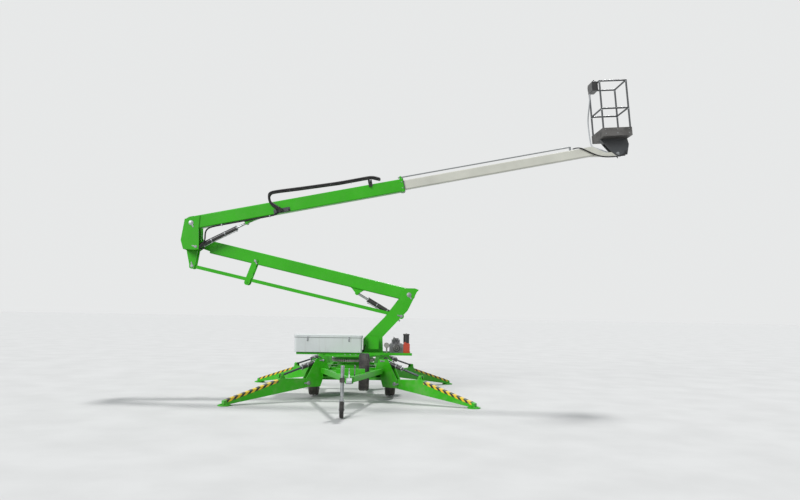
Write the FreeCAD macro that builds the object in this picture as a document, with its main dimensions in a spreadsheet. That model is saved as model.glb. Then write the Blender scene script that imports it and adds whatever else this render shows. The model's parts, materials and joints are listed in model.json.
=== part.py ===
import FreeCAD, Part
import Sketcher
import math
import os
import re
from types import SimpleNamespace

# Trailer-mounted articulated boom lift, standing on its four outriggers with the booms raised.
# Millimetres. X runs along the booms towards the basket, -Y towards the drawbar, Z up from the
# ground. The slew axis is X = Y = 0 while the pieces are made; the last step moves the origin to
# the middle of the whole machine's box, on the ground.

Vector = FreeCAD.Vector
doc = FreeCAD.newDocument("boom_lift")
sheet = doc.addObject("Spreadsheet::Sheet", "Sizes")

# Driving dimensions: name, value, what it is
SIZES = (
    ("rail_offset", 470, "chassis rail centre to the trailer's centreline"),
    ("rail_width", 100, "chassis rail width"),
    ("rail_low", 395, "underside of the chassis rails"),
    ("rail_depth", 122, "depth of the chassis rails"),
    ("rail_wall", 8, "wall of the chassis rails"),
    ("frame_reach", 1060, "outer face of the end crossmembers from the slew axis"),
    ("pedestal_radius", 300, "drum under the slew ring"),
    ("pedestal_top", 620, "top of the pedestal's flange"),
    ("flange_thick", 20, "pedestal flange and turret ring flange"),
    ("ring_radius", 400, "root radius of the slew ring's teeth"),
    ("tooth_height", 18, "slew ring tooth height"),
    ("tooth_count", 60, "slew ring teeth"),
    ("ring_height", 45, "height of the toothed ring"),
    ("seat_gap", 0.3, "gap between faces that slide or seat on each other"),
    ("pin_gap", 0.1, "radial clearance of a pivot pin in its bush"),
    ("open_gap", 0.6, "radial clearance at the pivots that a linkage opens"),
    ("hinge_x", 790, "outrigger hinge across the trailer"),
    ("hinge_y", 1080, "outrigger hinge along the trailer"),
    ("hinge_z", 300, "outrigger hinge above the ground"),
    ("foot_x", 2050, "outrigger foot across the trailer"),
    ("foot_y", 1920, "outrigger foot along the trailer"),
    ("cheek_gap", 102, "clear width between the two cheeks of an outrigger post"),
    ("cheek_thick", 14, "outrigger post cheek"),
    ("cheek_top", 720, "top of the outrigger posts above the ground"),
    ("cheek_inner", 420, "post cheek's inner end from the hinge"),
    ("hinge_pin", 22, "radius of the outrigger hinge pin"),
    ("arm_width", 92, "outrigger arm width"),
    ("arm_root", 72, "half depth of the arm at its hinge"),
    ("arm_knee", 500, "distance from the hinge to the arm's deepest section"),
    ("arm_knee_top", 98, "top of the arm at the knee, above the hinge"),
    ("arm_tip_depth", 82, "depth of the arm above its foot"),
    ("arm_wall", 8, "wall of the outrigger arm"),
    ("foot_radius", 110, "radius of the foot pad"),
    ("foot_thick", 14, "thickness of the foot pad"),
    ("leg_base_x", -285, "outrigger cylinder's base pin, along the arm from its hinge"),
    ("leg_base_z", 385, "outrigger cylinder's base pin, above the hinge"),
    ("leg_eye_x", 500, "outrigger cylinder's rod eye, along the arm from its hinge"),
    ("leg_eye_z", 146, "outrigger cylinder's rod eye, above the hinge"),
    ("leg_barrel", 425, "outrigger cylinder barrel from its base pin to its gland"),
    ("leg_barrel_radius", 36, "outrigger cylinder barrel radius"),
    ("leg_rod_radius", 17, "outrigger cylinder rod radius"),
    ("leg_rod_length", 431, "outrigger cylinder rod from its eye to its inner end"),
    ("leg_pin", 14, "radius of the outrigger cylinder's pins"),
    ("wheel_x", 700, "wheel centre across the trailer"),
    ("wheel_y", -500, "axle along the trailer"),
    ("wheel_z", 340, "wheel centre above the ground, with the tyres lifted clear"),
    ("tyre_radius", 320, "tyre outer radius"),
    ("tyre_width", 180, "tyre section width"),
    ("rim_radius", 165, "bead seat radius"),
    ("rim_width", 148, "rim width between its flanges"),
    ("flange_rise", 17, "height of the rim's flanges over its bead seat"),
    ("stub_radius", 25, "stub axle radius"),
    ("axle_section", 70, "side of the square axle beam"),
    ("drawbar_root_x", 520, "drawbar member centre at the chassis"),
    ("drawbar_tip_x", 36, "drawbar member centre at the coupling"),
    ("drawbar_tip_y", -3120, "front end of the drawbar members"),
    ("drawbar_root_z", 512, "drawbar member centre height at the chassis"),
    ("drawbar_tip_z", 560, "drawbar member centre height at the coupling"),
    ("drawbar_width", 60, "drawbar member width"),
    ("drawbar_depth", 84, "drawbar member depth"),
    ("drawbar_wall", 6, "drawbar member wall"),
    ("socket_radius", 25.5, "coupling socket radius for a 50 mm ball"),
    ("socket_depth", 34, "depth of the coupling socket"),
    ("spare_arm", 30, "spare wheel's arm, past the middle of its rim"),
    ("spare_x", 215, "spare wheel centre across the trailer"),
    ("spare_y", -1500, "spare wheel centre along the trailer"),
    ("spare_z", 536, "spare wheel centre above the ground"),
    ("head_half", 62, "half width of the drawbar's head block"),
    ("jockey_x", -100, "jockey wheel tube across the trailer"),
    ("jockey_y", -3175, "jockey wheel tube along the trailer"),
    ("jockey_low", 330, "lower end of the jockey wheel's outer tube"),
    ("jockey_high", 765, "upper end of the jockey wheel's outer tube"),
    ("jockey_travel_room", 57, "inner tube's top below the outer tube's, with the wheel down"),
    ("jockey_tube", 27, "jockey outer tube radius"),
    ("jockey_leg", 21, "jockey inner tube radius"),
    ("jockey_wheel", 120, "jockey wheel radius"),
    ("jockey_lift", 8, "gap under the jockey wheel"),
    ("drum_radius", 115, "brake drum radius"),
    ("deck_top", 745, "top of the turret deck"),
    ("deck_thick", 25, "turret deck plate"),
    ("deck_radius", 560, "turret deck plate, half its width across corners"),
    ("deck_beam", 60, "width of the beams under the hydraulic cover"),
    ("tower_left", 185, "front of the tower at the deck"),
    ("tower_right", 574, "back of the tower at the deck"),
    ("tower_front_knee", 1031, "height where the tower's front starts to lean"),
    ("tower_back_knee", 1075, "height where the tower's back starts to lean"),
    ("back_top", 1380, "top of the tower's back plate"),
    ("tie_boss", 52, "radius of the tower's bosses round the tie bar pin"),
    ("cover_left", -1110, "hydraulic cover, left end"),
    ("cover_right", 170, "hydraulic cover, right end"),
    ("cover_low", 790, "underside of the hydraulic cover"),
    ("cover_top", 1105, "top of the hydraulic cover"),
    ("cover_half", 330, "half width of the hydraulic cover"),
    ("cover_bend", 45, "bend radius of the cover's upright edges"),
    ("lid_height", 40, "height of the cover's lid"),
    ("lid_proud", 8, "how far the lid stands out over the cover"),
    ("tray_left", 600, "engine tray, left end"),
    ("tray_near", -60, "engine tray, near side"),
    ("tray_thick", 20, "height of the engine tray"),
    ("tray_right", 1116, "engine tray, right end"),
    ("lower_y", 130, "plane of the lower boom and tower"),
    ("upper_y", -140, "plane of the upper boom and basket"),
    ("boom_foot_x", 1063, "lower boom's foot pivot"),
    ("boom_foot_z", 1899, "lower boom's foot pivot"),
    ("lower_angle", 12.5, "lower boom's slope, in degrees"),
    ("lower_length", 4190, "lower boom, pivot to pivot"),
    ("lower_skin", 3980, "lower boom, foot pivot to the end of its box"),
    ("lower_depth", 240, "lower boom depth"),
    ("boom_width", 180, "width of both outer booms"),
    ("boom_wall", 8, "wall of both outer booms"),
    ("boom_bend", 22, "bend radius of the booms' long edges"),
    ("boom_pin", 30, "radius of the boom pivot pins"),
    ("bush_wall", 15, "wall of the boom pivot bushes"),
    ("side_gap", 3, "clearance beside a boom or link between its plates"),
    ("plate_thick", 14, "tower and knuckle side plates"),
    ("tie_dx", -145, "boom pivots to tie bar pivots, along X"),
    ("tie_dz", -420, "boom pivots to tie bar pivots, along Z"),
    ("tie_depth", 66, "tie bar depth"),
    ("tie_thick", 16, "thickness of each tie bar"),
    ("tie_half", 65, "boom plane to the inner face of a tie bar"),
    ("tie_pin", 20, "radius of the tie bar pins"),
    ("link_along", 3080, "spacer link's pin, along the lower boom"),
    ("link_below", 60, "spacer link's pin, below the boom's centreline"),
    ("link_width", 104, "spacer link width"),
    ("link_pin", 16, "spacer link pins"),
    ("lift_base_x", 850, "lower cylinder's base pin"),
    ("lift_base_z", 1453, "lower cylinder's base pin"),
    ("lift_eye_along", 1002, "lower cylinder's rod eye, along the boom from its foot"),
    ("lift_eye_below", 200, "lower cylinder's rod eye, below the boom's centreline"),
    ("lift_barrel", 690, "lower cylinder barrel from its base pin to its gland"),
    ("lift_barrel_radius", 46, "lower cylinder barrel radius"),
    ("lift_rod_radius", 24, "lower cylinder rod radius"),
    ("lift_rod_length", 730, "lower cylinder rod from its eye to its inner end"),
    ("cylinder_pin", 20, "radius of the boom cylinders' pins"),
    ("eye_share", 1.75, "outer radius of a cylinder's eye, as a share of its pin's radius"),
    ("lift_lug", 13, "thickness of the lower cylinder's lugs in the tower"),
    ("knuckle_back", -137, "lower boom's tip pivot to the upper boom's pivot, along X"),
    ("knuckle_rise", 391, "lower boom's tip pivot to the upper boom's pivot, along Z"),
    ("upper_angle", 11.75, "upper boom's slope, in degrees"),
    ("upper_length", 4162, "upper boom, pivot to the end of its outer box"),
    ("upper_depth", 250, "upper boom depth"),
    ("luff_pin", 17, "radius of the upper cylinder's pins"),
    ("luff_base_x", -26, "upper cylinder's base pin from the lower boom's tip pivot"),
    ("luff_base_z", -66, "upper cylinder's base pin from the lower boom's tip pivot"),
    ("luff_eye_along", 1033, "upper cylinder's rod eye, along the upper boom"),
    ("luff_eye_below", 182, "upper cylinder's rod eye, below the centreline"),
    ("luff_barrel", 850, "upper cylinder barrel from its base pin to its gland"),
    ("luff_barrel_radius", 42, "upper cylinder barrel radius"),
    ("luff_rod_radius", 20, "upper cylinder rod radius"),
    ("luff_rod_length", 700, "upper cylinder rod from its eye to its inner end"),
    ("fly_depth", 186, "telescopic boom depth"),
    ("fly_width", 140, "telescopic boom width"),
    ("fly_wall", 6, "telescopic boom wall"),
    ("fly_tail", 3700, "inner end of the telescopic boom, from the upper boom's pivot"),
    ("neck_top", 672, "basket pivot back to the telescopic boom's end, along its top"),
    ("neck_bottom", 510, "basket pivot back to the telescopic boom's end, along its bottom"),
    ("basket_along", 8526, "basket pivot along the upper boom"),
    ("basket_below", 136, "basket pivot below the centreline"),
    ("basket_tilt", 4, "tilt of the basket as it stands, in degrees"),
    ("basket_left", -367, "basket's near end from its pivot"),
    ("basket_length", 590, "basket size along the booms"),
    ("basket_half", 340, "half the basket's size across the booms"),
    ("basket_floor", 300, "basket floor's underside above its pivot"),
    ("basket_height", 1130, "basket rail above the floor"),
    ("toe_height", 165, "toe board height"),
    ("rail_tube", 17, "basket tube radius"),
    ("board_wall", 6, "thickness of the toe boards"),
    ("hose_radius", 25, "radius of the hose bundle that feeds the telescopic boom"),
    ("hose_gap", 6, "hose bundle to the upper boom's near face"),
    ("guide_rise", 168, "guide tube above the upper boom's centreline"),
    ("guide_radius", 13, "radius of the guide tube"),
)
for row, (alias, value, note) in enumerate(SIZES, start=1):
    sheet.set(f"A{row}", note)
    sheet.set(f"B{row}", str(value))
    sheet.setAlias(f"B{row}", alias)
doc.recompute()
ALIASES = {alias for alias, value, note in SIZES}
z = SimpleNamespace(**{alias: float(sheet.get(alias)) for alias in ALIASES})
NODES = {}


def bound(text):
    """Turns a formula over the size names into one that reads the sheet."""
    return re.sub(r"[a-z_]+", lambda m: f"Sizes.{m[0]}" if m[0] in ALIASES else m[0], str(text))


def node(name, piece):
    """Names a finished sub-part; its label is its file's name."""
    piece.Label = name
    NODES[name] = piece
    return piece


def block(name, low, high):
    """A box between two corners, each coordinate a formula over the sizes."""
    box = doc.addObject("Part::Box", name)
    for axis, side, start, end in zip("xyz", ("Length", "Width", "Height"), low, high):
        box.setExpression(side, bound(f"({end}) - ({start})"))
        box.setExpression(f"Placement.Base.{axis}", bound(f"{start}"))
    return box


TURNS = {"x": (Vector(0, 1, 0), 90), "y": (Vector(1, 0, 0), -90), "z": (Vector(0, 0, 1), 0)}


def rod(name, axis, radius, start, length):
    """A cylinder along one axis from a start point."""
    cylinder = doc.addObject("Part::Cylinder", name)
    cylinder.setExpression("Radius", bound(radius))
    cylinder.setExpression("Height", bound(length))
    turn, angle = TURNS[axis]
    cylinder.Placement = FreeCAD.Placement(Vector(), FreeCAD.Rotation(turn, angle))
    for letter, place in zip("xyz", start):
        cylinder.setExpression(f"Placement.Base.{letter}", bound(place))
    return cylinder


def fuse(name, pieces):
    joined = doc.addObject("Part::MultiFuse", name)
    joined.Shapes = pieces
    joined.Refine = True
    return joined


def cut(name, base, tools):
    remaining = doc.addObject("Part::Cut", name)
    remaining.Base = base
    remaining.Tool = tools[0] if len(tools) == 1 else fuse(name + "_tools", tools)
    return remaining


def edges_of(points):
    """Closed outline through (x, y) points; a third entry marks a point as the middle of an arc."""
    edges = []
    corners = [i for i, p in enumerate(points) if len(p) == 2]
    for here, there in zip(corners, corners[1:] + [corners[0] + len(points)]):
        first, last = points[here], points[there % len(points)]
        a, b = Vector(*first[:2], 0), Vector(*last[:2], 0)
        if there - here == 2:
            middle = points[(here + 1) % len(points)]
            edges.append(Part.Arc(a, Vector(*middle[:2], 0), b))
        else:
            edges.append(Part.LineSegment(a, b))
    return edges


def sketch_in(body, name, plane, outlines, circles=()):
    """A sketch on one of the body's own planes, with outlines and round holes (x, y, radius)."""
    sketch = body.newObject("Sketcher::SketchObject", name)
    own = [f for f in body.Origin.OriginFeatures if f.Role == plane][0]
    sketch.AttachmentSupport = (own, [""])
    sketch.MapMode = "FlatFace"
    for points in outlines:
        sketch.addGeometry(edges_of(points), False)
    for x, y, radius in circles:
        centre = Vector(x, y, 0)
        ring = sketch.addGeometry(Part.Circle(centre, Vector(0, 0, 1), z.boom_pin), False)
        place = sketch.addConstraint(Sketcher.Constraint("Radius", ring, z.boom_pin))
        sketch.setExpression(f"Constraints[{place}]", bound(radius))
    return sketch


def slab(name, outlines, thickness, at=(0, 0, 0), plane="XZ_Plane", circles=(), turn=None):
    """A plate or tube: its outline padded evenly to both sides of a plane, then placed."""
    body = doc.addObject("PartDesign::Body", name)
    sketch = sketch_in(body, name + "_outline", plane, outlines, circles)
    pad = body.newObject("PartDesign::Pad", name + "_pad")
    pad.Profile = sketch
    pad.SideType = "Symmetric"
    pad.setExpression("Length", bound(thickness))
    place(body, at, turn)
    return body


def spun(name, points, at=(0, 0, 0), turn=None):
    """A turned piece: points are (distance along the X axis, radius)."""
    body = doc.addObject("PartDesign::Body", name)
    sketch = sketch_in(body, name + "_outline", "XZ_Plane", [points])
    turned = body.newObject("PartDesign::Revolution", name + "_turned")
    turned.Profile = sketch
    turned.ReferenceAxis = (sketch, ["H_Axis"])
    turned.Angle = 360
    place(body, at, turn)
    return body


def place(piece, at, turn=None):
    """Puts a piece at a point given by formulas, turned about Y and then about Z, in degrees."""
    about_y, about_z = turn or (0, 0)
    rotation = FreeCAD.Rotation(Vector(0, 0, 1), about_z) * FreeCAD.Rotation(Vector(0, 1, 0), about_y)
    piece.Placement = FreeCAD.Placement(Vector(), rotation)
    for letter, value in zip("xyz", at):
        piece.setExpression(f"Placement.Base.{letter}", bound(value))
    return piece


def ring(x, y, radius):
    """Outline of a disc as two arcs."""
    return [(x + radius, y), (x, y + radius, "arc"), (x - radius, y), (x, y - radius, "arc")]


def rectangle(left, low, right, high):
    return [(left, low), (right, low), (right, high), (left, high)]


def rounded(left, low, right, high, radius):
    """Outline of a rectangle with round corners."""
    bend = radius * (1 - math.sqrt(0.5))
    return [(left + radius, low), (right - radius, low), (right - bend, low + bend, "arc"),
            (right, low + radius), (right, high - radius), (right - bend, high - bend, "arc"),
            (right - radius, high), (left + radius, high), (left + bend, high - bend, "arc"),
            (left, high - radius), (left, low + radius), (left + bend, low + bend, "arc")]


def box_tube(name, start, end, depth, width, wall, line, turn, closed=0):
    """A hollow boom with rounded edges, from start to end along a line; its last part may be closed."""
    outer = slab(name + "_skin", [rounded(-width / 2, -depth / 2, width / 2, depth / 2, z.boom_bend)],
                 end - start, tuple(line((start + end) / 2)), "YZ_Plane", turn=turn)
    across, up = width / 2 - wall, depth / 2 - wall
    first, last = start - 1, end - closed if closed else end + 1
    inner = slab(name + "_hollow", [rounded(-across, -up, across, up, z.boom_bend - wall)],
                 last - first, tuple(line((first + last) / 2)), "YZ_Plane", turn=turn)
    return cut(name + "_tube", outer, [inner])


def rounded_path(points, radius):
    """Straight runs joined by tangent arcs of one radius, or less where two runs are short."""
    edges, here = [], points[0]
    for before, corner, after in zip(points, points[1:], points[2:]):
        a, b = (before - corner), (after - corner)
        half_angle = a.getAngle(b) / 2
        short = min(radius / math.tan(half_angle), a.Length * 0.48, b.Length * 0.48)
        start, end = corner + a.normalize() * short, corner + b.normalize() * short
        to_arc = short / math.cos(half_angle) - short * math.tan(half_angle)
        edges.append(Part.makeLine(here, start))
        edges.append(Part.Arc(start, corner + (a + b).normalize() * to_arc, end).toShape())
        here = end
    edges.append(Part.makeLine(here, points[-1]))
    return Part.Wire(edges)


def pipe(name, path, radius):
    """A round bar or hose: a cylinder for each run of its path and part of a torus for each arc."""
    pieces = []
    for edge in path.OrderedEdges:
        start, way = edge.valueAt(edge.FirstParameter), edge.tangentAt(edge.FirstParameter)
        face = Part.Face(Part.Wire(Part.makeCircle(radius, start, way)))
        if isinstance(edge.Curve, Part.Circle):
            centre = edge.Curve.Center
            turned = math.degrees(edge.Length / edge.Curve.Radius)
            pieces.append(face.revolve(centre, (start - centre).cross(way), turned))
        else:
            pieces.append(face.extrude(way * edge.Length))
    bar = doc.addObject("Part::Feature", name)
    bar.Shape = pieces[0].multiFuse(pieces[1:])
    return bar


def straight_bar(name, start, end, radius):
    run = end - start
    bar = doc.addObject("Part::Cylinder", name)
    bar.Radius = radius
    bar.Height = run.Length
    bar.Placement = FreeCAD.Placement(start, FreeCAD.Rotation(Vector(0, 0, 1), run))
    return bar


# Points that several pieces share
LOWER_TURN = (z.lower_angle, 0)
UPPER_TURN = (-z.upper_angle, 0)
FOOT = Vector(z.boom_foot_x, z.lower_y, z.boom_foot_z)


def on_lower(along, below=0):
    """A point of the lower boom's plane, from its foot pivot."""
    a = math.radians(z.lower_angle)
    return Vector(FOOT.x - along * math.cos(a) - below * math.sin(a), z.lower_y,
                  FOOT.z + along * math.sin(a) - below * math.cos(a))


TIP = on_lower(z.lower_length)
HEAD = Vector(TIP.x + z.knuckle_back, z.upper_y, TIP.z + z.knuckle_rise)


def on_upper(along, below=0):
    """A point of the upper boom's plane, from its pivot on the knuckle."""
    a = math.radians(z.upper_angle)
    return Vector(HEAD.x + along * math.cos(a) + below * math.sin(a), z.upper_y,
                  HEAD.z + along * math.sin(a) - below * math.cos(a))


BASKET = on_upper(z.basket_along, z.basket_below)


def cylinder_pair(name, base, eye, eye_half, barrel, barrel_radius, rod_radius, rod_length, pin):
    """Barrel and rod of a hydraulic cylinder between two pins that lie in one upright plane."""
    run = eye - base
    length = run.Length
    flat = math.hypot(run.x, run.y)
    turn = (-math.degrees(math.atan2(run.z, flat)), math.degrees(math.atan2(run.y, run.x)))
    wall = barrel_radius * 0.24
    bore = barrel_radius - wall
    eye_radius = pin * z.eye_share
    at = (base.x, base.y, base.z)
    shell = spun(name + "_shell", [
        (eye_radius * 0.8, 0), (eye_radius * 0.8, barrel_radius), (barrel, barrel_radius),
        (barrel, rod_radius + z.seat_gap), (barrel - wall, rod_radius + z.seat_gap),
        (barrel - wall, bore), (eye_radius * 0.8 + wall, bore), (eye_radius * 0.8 + wall, 0)], at, turn)
    gland = spun(name + "_gland", [
        (barrel - 2 * wall, barrel_radius), (barrel - 2 * wall, barrel_radius + 3),
        (barrel, barrel_radius + 3), (barrel, barrel_radius)], at, turn)
    base_eye = slab(name + "_base_eye", [
        [(0, -eye_radius), (barrel_radius, -eye_radius), (barrel_radius, eye_radius), (0, eye_radius),
         (-eye_radius, 0, "arc")]], 2 * barrel_radius, at, circles=((0, 0, pin + z.pin_gap),), turn=turn)
    barrel_node = node(name + "_barrel", fuse(name + "_barrel", [shell, gland, base_eye]))
    end = (eye.x, eye.y, eye.z)
    stem = spun(name + "_stem", [
        (-rod_length, 0), (-rod_length, rod_radius), (-eye_radius * 0.6, rod_radius),
        (-eye_radius * 0.6, 0)], end, turn)
    piston = spun(name + "_piston", [
        (-rod_length, 0), (-rod_length, bore - z.seat_gap), (-rod_length + wall, bore - z.seat_gap),
        (-rod_length + wall, 0)], end, turn)
    rod_eye = slab(name + "_rod_eye", [
        [(eye_radius, 0), (0, eye_radius, "arc"), (-eye_radius, 0), (0, -eye_radius, "arc")]],
        2 * eye_half, end, turn=turn)
    rod_node = node(name + "_rod", fuse(name + "_rod", [stem, piston, rod_eye]))
    return barrel_node, rod_node


# Chassis: two rails, end and middle crossmembers, slew pedestal and the four outrigger posts
LEGS = {"front_left": (-1, -1), "front_right": (1, -1), "rear_left": (-1, 1), "rear_right": (1, 1)}


def leg_frame(side, end):
    """Hinge point and plan angle of one outrigger's own plane."""
    angle = math.degrees(math.atan2(end * (z.foot_y - z.hinge_y), side * (z.foot_x - z.hinge_x)))
    return Vector(side * z.hinge_x, end * z.hinge_y, z.hinge_z), angle


def in_leg(side, end, along, up):
    """A point of an outrigger's plane, from its hinge."""
    hinge, angle = leg_frame(side, end)
    a = math.radians(angle)
    return hinge + Vector(along * math.cos(a), along * math.sin(a), up)


def outrigger_post(name, side, end):
    """Two cheeks that carry the arm's hinge and the cylinder's base pin, with a web between them."""
    hinge, angle = leg_frame(side, end)
    at = (hinge.x, hinge.y, hinge.z)
    low, high = z.rail_low - z.hinge_z, z.cheek_top - z.hinge_z
    outline = [(56, -70), (56, 62), (-150, high), (-330, high), (-z.cheek_inner, low + z.rail_depth),
               (-z.cheek_inner, low), (-300, low), (-240, -70)]
    both = slab(name + "_cheeks", [outline], "cheek_gap + 2 * cheek_thick", at, turn=(0, angle))
    gap = slab(name + "_gap", [rectangle(-322, -90, 100, high + 20)], "cheek_gap", at, turn=(0, angle))
    post = cut(name + "_post", both, [gap])
    pins = [slab(name + label, [ring(0, 0, r)],
                 "cheek_gap + 2 * cheek_thick + 16", tuple(in_leg(side, end, x, up)), turn=(0, angle))
            for label, r, x, up in (("_hinge_pin", z.hinge_pin, 0, 0),
                                    ("_base_pin", z.leg_pin, z.leg_base_x, z.leg_base_z))]
    return [post] + pins


def chassis_frame():
    """Square tubes, a drum for the slew ring and a post at each corner."""
    half, top = "rail_width / 2", "rail_low + rail_depth"
    inside = (f"({half} - rail_wall)", "rail_low + rail_wall", f"{top} - rail_wall")
    tubes, hollows = [], []
    for label, side in (("left", "-"), ("right", "")):
        centre = f"{side}rail_offset"
        tubes.append(block("rail_" + label, (f"{centre} - {half}", "-frame_reach", "rail_low"),
                           (f"{centre} + {half}", "frame_reach", top)))
        hollows.append(block("rail_hollow_" + label, (f"{centre} - {inside[0]}", "-frame_reach - 1", inside[1]),
                             (f"{centre} + {inside[0]}", "frame_reach + 1", inside[2])))
    rows = (("front", f"-frame_reach + {half}"), ("fore_middle", "-ring_radius + 150"),
            ("aft_middle", "ring_radius - 150"), ("rear", f"frame_reach - {half}"))
    for label, centre in rows:
        tubes.append(block("cross_" + label, ("-rail_offset", f"{centre} - {half}", "rail_low"),
                           ("rail_offset", f"{centre} + {half}", top)))
        hollows.append(block("cross_hollow_" + label, ("-rail_offset", f"{centre} - {inside[0]}", inside[1]),
                             ("rail_offset", f"{centre} + {inside[0]}", inside[2])))
    frame = cut("frame_tubes", fuse("frame_outside", tubes), hollows)
    drum = cut("pedestal", rod("pedestal_drum", "z", "pedestal_radius", ("0", "0", "rail_low"),
                               "pedestal_top - rail_low"),
               [rod("pedestal_hollow", "z", "pedestal_radius - 12", ("0", "0", "rail_low - 1"),
                    "pedestal_top - rail_low - flange_thick + 1")])
    flange = rod("pedestal_flange", "z", "ring_radius - 10", ("0", "0", "pedestal_top - flange_thick"),
                 "flange_thick")
    pieces = [frame, drum, flange]
    for label, (side, end) in LEGS.items():
        pieces += outrigger_post(label, side, end)
    return node("chassis_frame", fuse("chassis_frame", pieces))


def slew_ring():
    """Fixed toothed ring of the slewing bearing."""
    teeth = int(z.tooth_count)
    step = 2 * math.pi / teeth
    points = []
    for i in range(teeth):
        for share, radius in ((-0.3, z.ring_radius), (-0.14, z.ring_radius + z.tooth_height),
                              (0.14, z.ring_radius + z.tooth_height), (0.3, z.ring_radius)):
            a = (i + share) * step
            points.append((radius * math.cos(a), radius * math.sin(a)))
    ring = slab("slew_ring_teeth", [points], "ring_height",
                ("0", "0", "pedestal_top + ring_height / 2"), plane="XY_Plane",
                circles=((0, 0, "ring_radius - 120"),))
    return node("slew_ring", ring)


def axle_beam():
    half = "axle_section / 2"
    pieces = [block("axle_bar", ("-rail_offset - 90", f"wheel_y - {half}", f"wheel_z - {half}"),
                    ("rail_offset + 90", f"wheel_y + {half}", f"wheel_z + {half}"))]
    for label, side in (("left", "-"), ("right", "")):
        pieces.append(block("axle_saddle_" + label,
                            (f"{side}rail_offset - rail_width / 2", "wheel_y - 70", "wheel_z"),
                            (f"{side}rail_offset + rail_width / 2", "wheel_y + 70", "rail_low")))
    pieces.append(rod("stub_shaft", "x", "stub_radius", ("-wheel_x - 30", "wheel_y", "wheel_z"),
                      "2 * (wheel_x + 30)"))
    for label, start in (("left", "-wheel_x + 45"), ("right", "wheel_x - 110")):
        pieces.append(rod("brake_drum_" + label, "x", "drum_radius", (start, "wheel_y", "wheel_z"), "65"))
    return node("axle_beam", fuse("axle_beam", pieces))


def tyre(name, at):
    """A ring seated on the rim's flanges, with sloped shoulders."""
    bore, crown, wide = z.rim_radius + z.flange_rise + z.seat_gap, z.tyre_radius, z.tyre_width / 2
    shoulder = 26
    return node(name, spun(name, [
        (-wide, bore), (wide, bore), (wide, crown - shoulder), (wide - shoulder, crown),
        (shoulder - wide, crown), (-wide, crown - shoulder)], at))


def rim(name, at, side):
    """Wheel disc, well and hub; side is the outward direction along X."""
    seat, half, bore = z.rim_radius, z.rim_width / 2, z.stub_radius + z.pin_gap
    well, lip, edge, hub = seat - 16, seat + z.flange_rise, half + 6, 46
    outline = [(34, 0), (50, 0), (50, hub), (28, hub), (28, well), (edge, well), (edge, lip), (half, lip),
               (half, seat), (-half, seat), (-half, lip), (-edge, lip), (-edge, well), (18, well), (18, hub),
               (-40, hub), (-40, bore), (34, bore)]
    return node(name, spun(name, [(side * x, r) for x, r in outline], at))


def beam_between(name, start, end, width, depth, wall):
    """A hollow member whose ends lie square to the trailer, from a start to an end centre."""
    run = end - start
    hollow = []
    for trim in (0, wall):
        w, d = width / 2 - trim, depth / 2 - trim
        corners = [start + Vector(x, 0, y) for x, y in ((-w, -d), (w, -d), (w, d), (-w, d), (-w, -d))]
        hollow.append(Part.Face(Part.makePolygon(corners)).extrude(run))
    piece = doc.addObject("Part::Feature", name)
    piece.Shape = hollow[0].cut(hollow[1])
    return piece


def drawbar():
    pieces = []
    for label, side in (("left", -1), ("right", 1)):
        root = Vector(side * z.drawbar_root_x, -z.frame_reach, z.drawbar_root_z)
        front = Vector(side * z.drawbar_tip_x, z.drawbar_tip_y, z.drawbar_tip_z)
        pieces.append(beam_between("drawbar_" + label, root, front, z.drawbar_width, z.drawbar_depth,
                                   z.drawbar_wall))
    pieces.append(block("drawbar_head", ("-head_half", "drawbar_tip_y - 110", "drawbar_tip_z - 50"),
                        ("head_half", "drawbar_tip_y + 20", "drawbar_tip_z + 50")))
    pieces.append(block("drawbar_brace", ("-230", "-2330", "580"), ("230", "-2270", "650")))
    along = "(spare_y - drawbar_tip_y) / (-frame_reach - drawbar_tip_y)"
    member = f"drawbar_tip_x + (drawbar_root_x - drawbar_tip_x) * {along}"
    pieces.append(rod("spare_arm", "x", "stub_radius", ("spare_x - spare_arm", "spare_y", "spare_z"),
                      f"{member} - spare_x + spare_arm"))
    pieces.append(rod("spare_flange", "x", "stub_radius + 20", ("spare_x + 40.3", "spare_y", "spare_z"), "12"))
    return node("drawbar", fuse("drawbar", pieces))


def coupling_head():
    """Ball coupling: a nose with a round socket open below, and its lever."""
    back, front = z.drawbar_tip_y - 110, z.drawbar_tip_y - 260
    low, top = z.drawbar_tip_z - 42, z.drawbar_tip_z + 36
    outline = [(back, low), (back, top), (back - 80, top), (front, top - 30), (front - 12, low + 20),
               (front, low)]
    nose = slab("coupling_nose", [outline], "84", plane="YZ_Plane")
    socket = rod("coupling_socket", "z", "socket_radius", ("0", "drawbar_tip_y - 215", f"{low - 1}"),
                 "socket_depth + 1")
    head = cut("coupling_body", nose, [socket])
    lever = slab("coupling_lever", [[(back + 60, top + 60), (back - 60, top - 2), (back - 86, top - 2),
                                     (back + 50, top + 76)]], "16", plane="YZ_Plane")
    return node("coupling_head", fuse("coupling_head", [head, lever]))


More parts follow.
